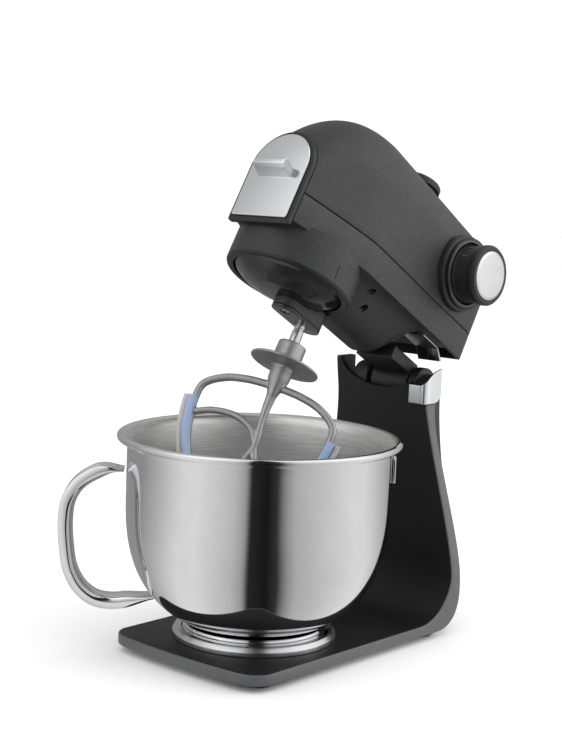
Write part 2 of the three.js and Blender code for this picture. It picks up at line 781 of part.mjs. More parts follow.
function buildDrive(head, bodies) {
  add(head, "gearbox_plate", gearboxPlate(), "cast_aluminium");
  add(head, "motor_stator", motorStator().translate(0, -MOTOR_S, 0), "steel");
  add(head, "ring_gear", ringGear().translate(0, -PLANET_S, 0), "gear_plastic");
  add(head, "drive_belt", beltLoop(), "rubber");
  add(bodies.motor, "motor_rotor", motorRotor(), "copper");
  add(bodies.motor, "motor_pulley", pulley(MOTOR_PULLEY_RADIUS, 4 + GAP), "steel");
  add(bodies.layshaft, "layshaft_wheel", layshaft(), "gear_plastic");
  const planet = bodies.planet;
  add(planet, "main_gear", mainGear(), "gear_plastic");
  add(planet, "planet_shaft", planetShaft(), "steel");
  add(planet, "planet_spindle", carrierSpindle(), "steel");
  add(planet, "planet_dome", planetDome(), "black_plastic");
  add(planet, "carrier_arm", carrierArm(), "body_paint");
  add(planet, "carrier_arm_cap", armCap(), "black_plastic");
  add(planet, "carrier_arm_screw", armScrew(), "steel");
  add(bodies.output, "output_shaft", outputShaft(), "steel");
  add(bodies.output, "planet_gear", planetGear(), "gear_plastic");
  add(bodies.output, "shaft_cross_pin", crossPin(), "steel");
}

// ---------------------------------------------------------------- speed knob and electrics

function buildKnob(head, knob) {
  const at = (geometry) => alongX(geometry).translate(0, -KNOB_S, KNOB_Z);
  add(head, "knob_bezel", at(ring(27.6, 34, 55 + GAP, 61.5, 32)), "black_plastic");
  add(head, "knob_ring", at(ring(27.6, 31.6, 61.5 + GAP, 64.6, 32)), "satin_steel");
  const body = turned([
    [0, 62], [26.8, 62], [25, 66], [24.2, 78.5], [26.4, 80.5], [26.5, 84.5], [24.6, 86.8],
    [21.8, 86.8], [21.8, 85.4], [0, 85.4],
  ], 28);
  const spindle = rod(5, 50, 63, 12);
  add(knob, "speed_knob", alongX(join(body, spindle)), "black_plastic");
  const cap = turned([[0, 85.8], [21.4, 85.8], [21.4, 87], [19, 87.9], [0, 88.4]], 32);
  add(knob, "knob_cap", alongX(cap), "satin_steel");
  add(head, "speed_control", at(ring(5.4, 11, 41, 50, 20)), "black_plastic");
  add(head, "control_board", box(-30, 30, 4, 6, 62, 112).translate(0, -6, 0), "board_green");
}

// ---------------------------------------------------------------- beater

function bowlRadiusAt(z) {
  const below = THREE.MathUtils.clamp((BOWL_SHOULDER_Z - z) / BOWL_DEPTH, 0, 1);
  return BOWL_RADIUS * (1 - below ** 2.5) ** 0.4;
}

// How far the beater's edge may reach from its own shaft at a height in the head's frame.
function reachAt(z, clearance) {
  return bowlRadiusAt(z + HINGE_Z) - BOWL_WALL - ORBIT_RADIUS - clearance;
}

const PUSH_UP = 6;                // how far the beater slides up its shaft to free the cross pin
const EDGE_TOP = -106;
const FRAME_CLEARANCE = 12.8;
const FIN_INNER = 7.6;
const FIN_OUTER = 2.7;

// Lowest line of the beater at a clearance from the bowl's floor, in the head's frame.
function floorAt(clearance) {
  return BOWL_FLOOR + 1.2 + 0.9 * clearance - HINGE_Z;
}

// Points [x, z] down one side of the beater, from its shoulder to the bowl's floor.
function edgeLine(clearance, side, count) {
  const points = [];
  for (let i = 0; i <= count; i += 1) {
    const z = THREE.MathUtils.lerp(EDGE_TOP, floorAt(clearance), Math.sin(0.5 * Math.PI * i / count));
    points.push([side * reachAt(z, clearance), z]);
  }
  return points;
}

function upright(points) {
  return points.map(([x, z]) => new THREE.Vector3(x, 0, z));
}

function sectionShape(width, depth) {
  const w = width / 2;
  const d = depth / 2;
  const c = w * 0.5;
  return outline([[w, 0], [c, d], [-c, d], [-w, 0], [-c, -d], [c, -d]]);
}

function swept(points, width, depth, steps) {
  const path = new THREE.CatmullRomCurve3(points, false, "centripetal");
  const options = { steps, bevelEnabled: false, extrudePath: path };
  return new THREE.ExtrudeGeometry(sectionShape(width, depth), options);
}

function beaterSide(side, grow = 0) {
  const edge = edgeLine(FRAME_CLEARANCE, side, 6);
  const shoulder = [[side * 4, -75.5], [side * 24, -77], [side * 43, -82], [side * 58, -93]];
  const bottom = [-side * 3, floorAt(FRAME_CLEARANCE)];
  return swept(upright([...shoulder, ...edge, bottom]), 6.4 + grow, 6.4 + grow, 16);
}

function beaterFrame() {
  const hub = turned([
    [0, -84], [4.6, -83], [6.5, -77], [9.2, -69], [9.8, -57.5], [30, -56.5], [30, -54.6],
    [12.2, -54], [12.2, -36], [0, -36],
  ], 28);
  const low = floorAt(FRAME_CLEARANCE);
  const arm = (points, width, steps) => swept(upright(points), width, 6, steps);
  const stem = arm([[0, -80], [0, -98], [1, -112], [3, -124], [3, -133]], 7, 6);
  const ribEnd = [1 - reachAt(-119, FRAME_CLEARANCE), -119];
  const rib = arm([ribEnd, [-42, -112], [-22, -110], [-6, -116], [2, -127]], 5.6, 9);
  const legLeft = arm([[3, -130], [-2, -146], [-11, -163], [-17, low]], 5.6, 5);
  const legRight = arm([[3, -130], [9, -146], [16, -163], [20, low]], 5.6, 5);
  const bore = rod(SHAFT_RADIUS + GAP, -60 - PUSH_UP - GAP, 0, 20);
  const slot = box(-9, 9, -1.9, 1.9, -60, -30);
  return cut(join(hub, beaterSide(1), beaterSide(-1), stem, rib, legLeft, legRight), bore, slot);
}

// Band between two clearances from the bowl, from one shoulder round to the other.
function bandShape(inner, outer) {
  const whole = (clearance) => [...edgeLine(clearance, 1, 6), ...edgeLine(clearance, -1, 6).reverse()];
  return outline([...whole(outer), ...whole(inner).reverse()]);
}

function siliconeEdge() {
  const strip = lengthways(bandShape(FRAME_CLEARANCE + 1.8, FIN_INNER), -4.7, 4.7);
  return cut(strip, beaterSide(1, 4 * GAP), beaterSide(-1, 4 * GAP));
}

function siliconeFin() {
  return lengthways(bandShape(FIN_INNER - GAP, FIN_OUTER), -0.8, 0.8);
}

function buildBeater(group) {
  const turnedBy = new THREE.Matrix4().makeRotationZ(-BEATER_ANGLE);
  add(group, "beater_frame", beaterFrame().applyMatrix4(turnedBy), "cast_aluminium");
  add(group, "beater_silicone_edge", siliconeEdge().applyMatrix4(turnedBy), "blue_silicone");
  add(group, "beater_wiper_fin", siliconeFin().applyMatrix4(turnedBy), "grey_silicone");
}

// ---------------------------------------------------------------- bowl

function bowlProfile(inset, count) {
  const low = BOWL_FLOOR - 0.6 + inset;
  const points = [];
  for (let i = 0; i <= count; i += 1) {
    const angle = (Math.PI / 2) * (1 - i / count);
    const z = THREE.MathUtils.lerp(low, BOWL_SHOULDER_Z, Math.cos(angle) ** 1.15);
    points.push([bowlRadiusAt(z - inset * 0.5) - inset, z]);
  }
  return points;
}

function bowlShell() {
  const outer = bowlProfile(0, 10);
  const inner = bowlProfile(BOWL_WALL, 10).reverse();
  const rim = [];
  const roll = 3;
  for (let i = 0; i <= 3; i += 1) {
    const angle = Math.PI * (0.45 * i - 0.5);
    rim.push([BOWL_RIM_RADIUS - roll + roll * Math.cos(angle), BOWL_RIM_Z - roll + roll * Math.sin(angle)]);
  }
  const profile = [
    [0, BOWL_FLOOR - 1.5], [50, BOWL_FLOOR - 1.5], ...outer,
    [BOWL_RADIUS, 174], [BOWL_RADIUS + 2.2, 178.2], ...rim,
    [BOWL_RADIUS + 0.6, 178.6], [BOWL_RADIUS - BOWL_WALL, 175], ...inner,
    [50, BOWL_FLOOR], [0, BOWL_FLOOR],
  ];
  return turned(profile, 40);
}

function bowlFoot() {
  const profile = [
    [52.5, 15.4], [60, 15.4], [60, 21.6], [59, 22.8], [60, 24], [58.8, 26.1], [52.5, 26.1], [52.5, 15.4],
  ];
  const sector = (angle) => box(50, 70, -10, 10, 10, 30).rotateZ(angle);
  const lugs = LUG_ANGLES.map((angle) => clip(ring(59, 63.2, 15.6, 19, 32), sector(angle)));
  return join(turned(profile, 32), ...lugs);
}

function handleGrip() {
  const points = [
    [115, 151.5], [124, 151.5], [135, 148], [148, 139], [156, 126], [158.5, 110],
    [157.5, 88], [154, 68], [146, 53], [134, 43.5], [120, 40.5], [100, 43.5],
  ];
  return swept(upright(points), 22, 12, 18);
}

function handleTabs() {
  const topTab = box(BOWL_RADIUS + GAP, BOWL_RADIUS + 7, -11, 11, 146, 157);
  const topFlange = box(BOWL_RADIUS + GAP, BOWL_RADIUS + 2.4, -11, 11, 146, 170);
  const lowTab = box(86, 102, -11, 11, 38.5, 48.5);
  return join(topTab, topFlange, lowTab);
}

function bowlHandle() {
  const wall = bowlProfile(0, 10).map(([r, z]) => [r + GAP, z]);
  const bowlBody = turned([[0, 20], [54, 20], ...wall, [BOWL_RADIUS + GAP, 174], [0, 174]], 40);
  return cut(join(handleGrip(), handleTabs()).rotateZ(HANDLE_ANGLE), bowlBody);
}

function buildBowl(group) {
  add(group, "bowl_shell", bowlShell(), "polished_steel");
  add(group, "bowl_foot", bowlFoot(), "polished_steel");
  add(group, "bowl_handle", bowlHandle(), "polished_steel");
}

// ---------------------------------------------------------------- assembly

function childGroup(parent, x, y, z) {
  const group = new THREE.Group();
  group.position.set(x, y, z);
  parent.add(group);
  return group;
}

const group = new THREE.Group();
const mixer = childGroup(group, 0, 0, 0);
const lever = childGroup(mixer, 0, HINGE_Y, HINGE_Z);
const head = childGroup(mixer, 0, HINGE_Y, HINGE_Z);
head.rotation.x = -TILT;
const knob = childGroup(head, 0, -KNOB_S, KNOB_Z);
const motor = childGroup(head, 0, -MOTOR_S, 0);
const layshaftGroup = childGroup(head, 0, -LAYSHAFT_S, 0);
const planet = childGroup(head, 0, -PLANET_S, 0);
const output = childGroup(planet, 0, ORBIT_RADIUS, 0);
const beater = childGroup(output, 0, 0, 0);

buildBase(mixer);
buildHinge(mixer, lever);
buildHeadShells(head);
add(head, "port_cap", portCap(), "black_plastic");
add(head, "hub_cover", hubCover(), "chrome");
buildDrive(head, { motor, layshaft: layshaftGroup, planet, output });
buildKnob(head, knob);
buildBeater(beater);
buildBowl(mixer);

const bounds = new THREE.Box3().setFromObject(group, true);
const centre = bounds.getCenter(new THREE.Vector3());
mixer.position.set(-centre.x, -centre.y, -bounds.min.z);

export default group;
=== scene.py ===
"""Tilt-head stand mixer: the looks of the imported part. Metres, in the part's own frame."""

import json
import math

import bpy
import bmesh
import numpy as np
from mathutils import Matrix, Vector


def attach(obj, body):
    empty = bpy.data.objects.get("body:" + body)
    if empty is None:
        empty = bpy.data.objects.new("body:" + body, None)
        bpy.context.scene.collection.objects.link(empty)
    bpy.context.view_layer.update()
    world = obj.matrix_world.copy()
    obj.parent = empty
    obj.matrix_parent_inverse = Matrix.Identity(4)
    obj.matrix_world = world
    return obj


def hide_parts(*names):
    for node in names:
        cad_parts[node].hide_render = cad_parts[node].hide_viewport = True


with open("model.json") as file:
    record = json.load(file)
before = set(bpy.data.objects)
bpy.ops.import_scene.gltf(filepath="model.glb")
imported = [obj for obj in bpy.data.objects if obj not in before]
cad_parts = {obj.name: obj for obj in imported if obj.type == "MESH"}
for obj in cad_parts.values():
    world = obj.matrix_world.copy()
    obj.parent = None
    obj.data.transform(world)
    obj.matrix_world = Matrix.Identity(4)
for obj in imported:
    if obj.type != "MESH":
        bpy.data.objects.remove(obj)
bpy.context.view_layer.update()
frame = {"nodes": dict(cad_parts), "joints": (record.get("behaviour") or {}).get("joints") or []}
JOINTS = {joint["name"]: joint for joint in frame["joints"]}
NODES = frame["nodes"]

MM = 0.001
GAP = 0.35
RING_STEPS = 128
FINE_STEPS = 144

# ------------------------------------------------------------ places to build in, all in millimetres


def place_at(origin, x_axis, y_axis, z_axis):
    """Matrix that takes millimetres along three axes from an origin in metres."""
    turn = Matrix((x_axis, y_axis, z_axis)).transposed().to_4x4()
    return Matrix.Translation(origin) @ turn @ Matrix.Scale(MM, 4)


BOWL_AXIS = Vector(JOINTS["bowl_twist"]["pos_m"])
HINGE = Vector(JOINTS["head_tilt"]["pos_m"])
HEAD_UP = Vector(JOINTS["planet_turn"]["axis"])
HEAD_FORWARD = Vector(JOINTS["hub_cover_pull"]["axis"])
RIGHT = Vector((1, 0, 0))

TABLE = Matrix.Translation((BOWL_AXIS.x, BOWL_AXIS.y, 0)) @ Matrix.Scale(MM, 4)
LEVER = Matrix.Translation(HINGE) @ Matrix.Scale(MM, 4)
HEAD = place_at(HINGE, RIGHT, -HEAD_FORWARD, HEAD_UP)
PLANET = place_at(JOINTS["planet_turn"]["pos_m"], RIGHT, -HEAD_FORWARD, HEAD_UP)
ORBIT = 35
OUTPUT = PLANET @ Matrix.Translation((0, ORBIT, 0))
BEATER_TURN = math.radians(29.4)
BEATER = OUTPUT @ Matrix.Rotation(BEATER_TURN, 4, "Z")
KNOB_OUT = 60
KNOB_JOINT = place_at(JOINTS["knob_turn"]["pos_m"], -HEAD_UP, -HEAD_FORWARD, RIGHT)
KNOB = KNOB_JOINT @ Matrix.Translation((0, 0, -KNOB_OUT))
HANDLE_TURN = math.radians(224)
HANDLE = TABLE @ Matrix.Rotation(HANDLE_TURN, 4, "Z")

# ------------------------------------------------------------ curves and outlines


def bezier(p0, p1, p2, p3, count=16):
    """Points along a cubic curve, both ends included."""
    t = np.linspace(0, 1, count + 1)[:, None]
    p0, p1, p2, p3 = (np.array(p, float) for p in (p0, p1, p2, p3))
    return (1 - t) ** 3 * p0 + 3 * (1 - t) ** 2 * t * p1 + 3 * (1 - t) * t ** 2 * p2 + t ** 3 * p3


def arc(centre, radius, start, end, count=16):
    """Points along a circular arc from one angle to another, in degrees."""
    angle = np.radians(np.linspace(start, end, count + 1))
    return np.column_stack((centre[0] + radius * np.cos(angle), centre[1] + radius * np.sin(angle)))


def chain(*pieces):
    """One polyline from several, without repeated points."""
    points = np.vstack([np.array(piece, float).reshape(-1, np.array(piece).shape[-1]) for piece in pieces])
    keep = np.r_[True, np.linalg.norm(np.diff(points, axis=0), axis=1) > 1e-4]
    return points[keep]


def rounded(corners, steps=5):
    """Polyline through (a, b, radius) corners, each rounded by its radius."""
    points = [np.array(c[:2], float) for c in corners]
    made = [points[0]]
    for before, here, after, corner in zip(points, points[1:], points[2:], corners[1:-1]):
        radius = corner[2] if len(corner) > 2 else 0
        into, out = before - here, after - here
        into_length, out_length = np.linalg.norm(into), np.linalg.norm(out)
        into, out = into / into_length, out / out_length
        half = math.acos(max(-1, min(1, float(into @ out)))) / 2
        if radius == 0 or half > 1.55:
            made.append(here)
            continue
        reach = min(radius / math.tan(half), 0.49 * into_length, 0.49 * out_length)
        start, end = here + into * reach, here + out * reach
        for t in np.linspace(0, 1, steps + 1):
            made.append((1 - t) ** 2 * start + 2 * t * (1 - t) * here + t * t * end)
    made.append(points[-1])
    return chain(np.array(made))


def spline(points, count):
    """Evenly spaced points on a smooth curve through the given ones."""
    p = np.array(points, float)
    knots = np.r_[0, np.cumsum(np.sqrt(np.linalg.norm(np.diff(p, axis=0), axis=1)))]
    ends = np.vstack((2 * p[0] - p[1], p, 2 * p[-1] - p[-2]))
    times = np.r_[2 * knots[0] - knots[1], knots, 2 * knots[-1] - knots[-2]]
    fine = []
    for i in range(1, len(ends) - 2):
        t = np.linspace(times[i], times[i + 1], 24, endpoint=i == len(ends) - 3)[:, None]
        t0, t1, t2, t3 = times[i - 1:i + 3]
        a1 = (t1 - t) / (t1 - t0) * ends[i - 1] + (t - t0) / (t1 - t0) * ends[i]
        a2 = (t2 - t) / (t2 - t1) * ends[i] + (t - t1) / (t2 - t1) * ends[i + 1]
        a3 = (t3 - t) / (t3 - t2) * ends[i + 1] + (t - t2) / (t3 - t2) * ends[i + 2]
        b1 = (t2 - t) / (t2 - t0) * a1 + (t - t0) / (t2 - t0) * a2
        b2 = (t3 - t) / (t3 - t1) * a2 + (t - t1) / (t3 - t1) * a3
        fine.append((t2 - t) / (t2 - t1) * b1 + (t - t1) / (t2 - t1) * b2)
    return resampled(np.vstack(fine), count)


def distances(line):
    """How far along a polyline each of its points is."""
    return np.r_[0, np.cumsum(np.linalg.norm(np.diff(line, axis=0), axis=1))]


def tangents(line):
    """Unit directions of a polyline at its points."""
    made = np.gradient(line, axis=0)
    return made / np.linalg.norm(made, axis=1)[:, None]


def resampled(line, count):
    """A polyline as evenly spaced points."""
    along = distances(line)
    at = np.linspace(0, along[-1], count)
    return np.column_stack([np.interp(at, along, line[:, k]) for k in range(line.shape[1])])


def smoothstep(value, low, high):
    t = np.clip((value - low) / (high - low), 0, 1)
    return t * t * (3 - 2 * t)


def mix(a, b, t):
    return a + (b - a) * t


# ------------------------------------------------------------ meshes


def piece(name, vertices, faces, place, sharp=30, sheets=None):
    """A smooth-shaded mesh object whose edges over the sharp angle, in degrees, stay crisp."""
    mesh = bpy.data.meshes.new(name)
    mesh.from_pydata([tuple(v) for v in vertices], [], [tuple(f) for f in faces])
    mesh.transform(place)
    if sheets is not None:
        mesh.polygons.foreach_set("material_index", np.array(sheets, np.int32))
    made = bpy.data.objects.new(name, mesh)
    bpy.context.scene.collection.objects.link(made)
    face_outwards(mesh)
    crisp(made, sharp)
    return made


def face_outwards(mesh):
    work = bmesh.new()
    work.from_mesh(mesh)
    bmesh.ops.remove_doubles(work, verts=work.verts, dist=1e-7)
    bmesh.ops.recalc_face_normals(work, faces=work.faces)
    work.to_mesh(mesh)
    work.free()


def crisp(made, sharp=30):
    mesh = made.data
    mesh.polygons.foreach_set("use_smooth", np.ones(len(mesh.polygons), bool))
    mesh.set_sharp_from_angle(angle=math.radians(sharp))


def grid_faces(rows, columns, offset=0, around=False, flip=False):
    """Quads between the points of a grid that is stored row by row."""
    faces = []
    for i in range(rows - 1):
        for j in range(columns if around else columns - 1):
            k = (j + 1) % columns
            quad = [i * columns + j, i * columns + k, (i + 1) * columns + k, (i + 1) * columns + j]
            faces.append([offset + q for q in (quad[::-1] if flip else quad)])
    return faces


def lathe(name, profile, place, steps=RING_STEPS, sharp=30, sheet_of=None):
    """Solid of revolution about Z, from a (radius, z) profile that ends on the axis or closes on itself."""
    profile = np.array(profile, float)
    angles = np.linspace(0, 2 * math.pi, steps, endpoint=False)
    rows = np.array([[(r * math.cos(a), r * math.sin(a), z) for a in angles] for r, z in profile])
    faces = grid_faces(len(profile), steps, around=True)
    sheets = None
    if sheet_of:
        middles = (profile[:-1] + profile[1:]) / 2
        sheets = [sheet_of(r, z) for r, z in middles for _ in angles]
    return piece(name, rows.reshape(-1, 3), faces, place, sharp, sheets)


def drill(name, radius, z0, z1, place, steps=48):
    """Plain cylinder, to cut a round hole with."""
    return lathe(name, [(0, z0), (radius, z0), (radius, z1), (0, z1)], place, steps)


def rod(name, radius, z0, z1, rim, place, steps):
    """Round bar with rounded ends."""
    return lathe(name, rounded([(0, z0), (radius, z0, rim), (radius, z1, rim), (0, z1)]), place, steps)


def collar(name, inner, outer, z0, z1, place):
    """Round tube with rounded outer edges."""
    profile = rounded([(inner, z0), (outer, z0, 1), (outer, z1, 1), (inner, z1), (inner, z0)])
    return lathe(name, profile, place, 72)


def lofted(name, rings, place, sharp=35):
    """Closed rings of points joined one to the next, with a flat face over each end."""
    rings = np.array(rings)
    count = rings.shape[1]
    last = (len(rings) - 1) * count
    faces = grid_faces(len(rings), count, around=True)
    faces += [list(range(count)), list(range(last, last + count))]
    return piece(name, rings.reshape(-1, 3), faces, place, sharp)


def offset_outline(outline, distance):
    """A closed outline moved outwards by a distance."""
    before, after = np.roll(outline, 1, axis=0), np.roll(outline, -1, axis=0)
    area = np.sum(outline[:, 0] * after[:, 1] - after[:, 0] * outline[:, 1])
    side = math.copysign(1, area)
    into, out = outline - before, after - outline
    n1 = side * np.column_stack((into[:, 1], -into[:, 0])) / np.linalg.norm(into, axis=1)[:, None]
    n2 = side * np.column_stack((out[:, 1], -out[:, 0])) / np.linalg.norm(out, axis=1)[:, None]
    normal = n1 + n2
    normal /= np.maximum(np.linalg.norm(normal, axis=1), 1e-6)[:, None]
    stretch = 1 / np.clip(np.sum(normal * n1, axis=1), 0.6, 1)
    return outline + normal * (distance * stretch)[:, None]


def slab(name, outline, z0, z1, place, rim=0.6, rim_steps=3, sharp=30):
    """An outline extruded in Z, with rounded rims."""
    outline = np.array(outline, float)
    levels = []
    for k in range(rim_steps + 1):
        angle = 0.5 * math.pi * k / rim_steps
        levels.append((rim * (math.sin(angle) - 1), z0 + rim * (1 - math.cos(angle))))
    levels += [(inset, z0 + z1 - z) for inset, z in levels[::-1]]
    rings = []
    for inset, z in levels:
        line = offset_outline(outline, inset)
        rings.append(np.column_stack((line, np.full(len(line), z))))
    return lofted(name, rings, place, sharp)


def along_x(place):
    """The place whose Z runs along the given place's X, and whose X and Y are its Y and Z."""
    return place @ Matrix(((0, 0, 1, 0), (1, 0, 0, 0), (0, 1, 0, 0), (0, 0, 0, 1)))


def along_y(place):
    """The place whose Z runs along the given place's -Y, and whose X and Y are its X and Z."""
    return place @ Matrix(((1, 0, 0, 0), (0, 0, -1, 0), (0, 1, 0, 0), (0, 0, 0, 1)))


def bent_plate(name, flat, at, thickness, rim, place, rim_steps=4):
    """A plate from a grid of flat points, bent by at(a, b, depth). Its rounded rim is sheet 1."""
    rows, columns = flat.shape[:2]
    index = np.arange(rows * columns).reshape(rows, columns)
    loop = np.r_[index[0, :-1], index[:-1, -1], index[-1, :0:-1], index[:0:-1, 0]]
    points = flat.reshape(-1, 2)
    rings = []
    for k in range(1, rim_steps + 1):
        angle = 0.5 * math.pi * k / rim_steps
        rings.append((offset_outline(points[loop], rim * math.sin(angle)), rim * (1 - math.cos(angle))))
    rings += [(line, thickness - depth) for line, depth in rings[::-1]]
    layers = [(points, 0), *rings, (points, thickness)]
    vertices = np.vstack([at(line[:, 0], line[:, 1], depth) for line, depth in layers])
    count = len(loop)
    first_ring = rows * columns
    last_grid = first_ring + len(rings) * count
    faces = grid_faces(rows, columns) + grid_faces(rows, columns, last_grid, flip=True)
    sheets = [0] * len(faces)
    loops = [first_ring + i * count + np.arange(count) for i in range(len(rings))]
    loops = [loop, *loops, last_grid + loop]
    for low, high in zip(loops, loops[1:]):
        faces += [[low[i], low[(i + 1) % count], high[(i + 1) % count], high[i]] for i in range(count)]
    sheets += [1] * (len(faces) - len(sheets))
    return piece(name, vertices, faces, place, 40, sheets)


def sweep(name, line, section, place, sharp=40):
    """A tube along a line in X and Z. section(share) gives its ring as (outwards, sideways) offsets."""
    line = np.array(line, float)
    normals = tangents(line)[:, ::-1] * (-1, 1)
    rings = []
    for share, point, out in zip(np.linspace(0, 1, len(line)), line, normals):
        ring = np.array(section(share), float)
        shifted = point + ring[:, :1] * out
        rings.append(np.column_stack((shifted[:, 0], ring[:, 1], shifted[:, 1])))
    return lofted(name, rings, place, sharp)


def ellipse(width, depth, count=20, power=1.0):
    """Ring of offsets; a power under 1 makes it squarer."""
    angle = np.linspace(0, 2 * math.pi, count, endpoint=False)
    squared = [np.sign(f) * np.abs(f) ** power for f in (np.cos(angle), np.sin(angle))]
    return np.column_stack((squared[0] * width / 2, squared[1] * depth / 2))


def block(name, x0, x1, y0, y1, z0, z1, place, rim=0.5):
    """A box with rounded edges."""
    outline = rounded([((x0 + x1) / 2, y0), (x1, y0, rim), (x1, y1, rim), (x0, y1, rim), (x0, y0, rim),
                       ((x0 + x1) / 2 - 1e-3, y0)], 3)
    return slab(name, outline, z0, z1, place, rim)


def merged(name, *parts):
    """Several mesh objects as one, keeping each face's material sheet."""
    work = bmesh.new()
    for part in parts:
        work.from_mesh(part.data)
    first = parts[0]
    work.to_mesh(first.data)
    work.free()
    for part in parts[1:]:
        bpy.data.objects.remove(part)
    first.name = name
    first.data.name = name
    return first


def settled(made):
    """Applies the object's modifiers."""
    graph = bpy.context.evaluated_depsgraph_get()
    mesh = bpy.data.meshes.new_from_object(made.evaluated_get(graph))
    made.modifiers.clear()
    made.data = mesh
    mesh.name = made.name
    return made


def boolean(made, operation, *tools, sharp=30):
    """Cuts, joins or crops a mesh with tool meshes, which are used up."""
    for tool in tools:
        modifier = made.modifiers.new(operation.lower(), "BOOLEAN")
        modifier.operation = operation
        modifier.solver = "MANIFOLD"
        modifier.object = tool
    settled(made)
    for tool in tools:
        bpy.data.objects.remove(tool)
    crisp(made, sharp)
    return made


def carved(made, *tools, sharp=30):
    return boolean(made, "DIFFERENCE", *tools, sharp=sharp)


def fused(made, *tools, sharp=30):
    return boolean(made, "UNION", *tools, sharp=sharp)


# ------------------------------------------------------------ materials


def grown(made, voxel):
    """Grows overlapping bodies into one, on a grid of voxels."""
    remesh = made.modifiers.new("grown together", "REMESH")
    remesh.mode = "VOXEL"
    remesh.voxel_size = voxel * MM
    return made


def new_material(name):
    made = bpy.data.materials.new(name)
    made.use_nodes = True
    return made, made.node_tree, made.node_tree.nodes["Principled BSDF"]


def node(tree, kind, inputs):
    """A shader node, with each input set to a value or joined to a socket."""
    made = tree.nodes.new("ShaderNode" + kind)
    for key, value in inputs.items():
        if isinstance(value, bpy.types.NodeSocket):
            tree.links.new(value, made.inputs[key])
        else:
            made.inputs[key].default_value = value
    return made


def object_coordinates(tree):
    return node(tree, "TexCoord", {}).outputs["Object"]


def stretched(tree, stretch):
    """Object coordinates in metres, scaled along each axis."""
    made = node(tree, "Mapping", {"Scale": stretch, "Vector": object_coordinates(tree)})
    return made.outputs["Vector"]


def noise(tree, vector, scale, detail=2.0):
    return node(tree, "TexNoise", {"Scale": scale, "Detail": detail, "Vector": vector}).outputs["Fac"]


def ranged(tree, value, low, high, start=0.35, end=0.65):
    """A value from start to end, such as a noise, spread between two numbers."""
    spans = {"From Min": start, "From Max": end, "To Min": low, "To Max": high, "Value": value}
    return node(tree, "MapRange", spans).outputs["Result"]


def blended(tree, share, first, second):
    """A colour between two, each a colour or a socket."""
    made = node(tree, "Mix", {"Factor": share})
    made.data_type = "RGBA"
    for socket, value in ((made.inputs[6], first), (made.inputs[7], second)):
        if isinstance(value, tuple):
            socket.default_value = (*value, 1)
        else:
            tree.links.new(value, socket)
    return made.outputs[2]


def bumped(tree, shader, height, strength, depth, below=None):
    """Relief with a depth in millimetres, laid over any relief below it."""
    made = node(tree, "Bump", {"Strength": strength, "Distance": depth * MM, "Height": height})
    if below:
        tree.links.new(below, made.inputs["Normal"])
    tree.links.new(made.outputs["Normal"], shader.inputs["Normal"])
    return made.outputs["Normal"]


def worn(tree, colour, worn_colour, amount):
    """Lightens convex edges where hands and cloths rub them."""
    bend = node(tree, "NewGeometry", {}).outputs["Pointiness"]
    return blended(tree, ranged(tree, bend, 0, amount, 0.52, 0.62), colour, worn_colour)


def finish(name, colour, roughness, metallic=0.0, grain=900, stretch=(1, 1, 1), bump=0.15, depth=0.05,
           shade=0.25, wear=0.0, patch=30, **sockets):
    """Material with grain in its colour and relief, patchy roughness and rubbed edges."""
    made, tree, shader = new_material(name)
    vector = stretched(tree, stretch)
    grains = noise(tree, vector, grain)
    patches = noise(tree, stretched(tree, (1, 1, 1)), patch, 3)
    dark = tuple(c * (1 - shade) for c in colour)
    light = tuple(min(1, c * (1 + shade)) for c in colour)
    base = blended(tree, ranged(tree, grains, 0, 1), dark, light)
    if wear:
        base = worn(tree, base, tuple(min(1, c * 1.6 + 0.04) for c in colour), wear)
    tree.links.new(base, shader.inputs["Base Color"])
    tree.links.new(ranged(tree, patches, *roughness), shader.inputs["Roughness"])
    shader.inputs["Metallic"].default_value = metallic
    for socket, value in sockets.items():
        shader.inputs[socket.replace("_", " ")].default_value = value
    bumped(tree, shader, grains, bump, depth)
    return made


def flecked_paint(name, colour, fleck, roughness):
    """Satin paint with an orange-peel surface and fine metal flecks."""
    made, tree, shader = new_material(name)
    vector = stretched(tree, (1, 1, 1))
    flecks = noise(tree, vector, 2600, 0)
    peel = noise(tree, vector, 700, 2)
    patches = noise(tree, vector, 22, 3)
    base = blended(tree, ranged(tree, flecks, 0, 1, 0.62, 0.78), colour, fleck)
    base = blended(tree, ranged(tree, patches, 0, 0.25), base, tuple(1.4 * c for c in colour))
    tree.links.new(base, shader.inputs["Base Color"])
    tree.links.new(ranged(tree, patches, *roughness), shader.inputs["Roughness"])
    shader.inputs["Specular IOR Level"].default_value = 0.35
    shader.inputs["Coat Weight"].default_value = 0.1
    shader.inputs["Coat Roughness"].default_value = 0.35
    fine = bumped(tree, shader, peel, 0.12, 0.05)
    bumped(tree, shader, flecks, 0.1, 0.02, fine)
    return made


def vector_math(tree, operation, first, second=(0, 0, 0)):
    made = node(tree, "VectorMath", {0: first, 1: second})
    made.operation = operation
    return made.outputs


def spun_metal(name, colour, centre, axis, roughness):
    """Metal with fine turning lines about an axis through a centre, in metres."""
    made, tree, shader = new_material(name)
    offset = vector_math(tree, "SUBTRACT", object_coordinates(tree), centre)["Vector"]
    across = vector_math(tree, "CROSS_PRODUCT", offset, axis)["Vector"]
    radius = vector_math(tree, "LENGTH", across)["Value"]
    turning = node(tree, "TexNoise", {"Scale": 3000})
    turning.noise_dimensions = "1D"
    tree.links.new(radius, turning.inputs["W"])
    lines = turning.outputs["Fac"]
    patches = noise(tree, stretched(tree, (1, 1, 1)), 60, 3)
    base = blended(tree, ranged(tree, lines, 0, 1), tuple(0.86 * c for c in colour), colour)
    tree.links.new(base, shader.inputs["Base Color"])
    tree.links.new(ranged(tree, patches, *roughness), shader.inputs["Roughness"])
    shader.inputs["Metallic"].default_value = 1
    bumped(tree, shader, lines, 0.12, 0.02)
    return made


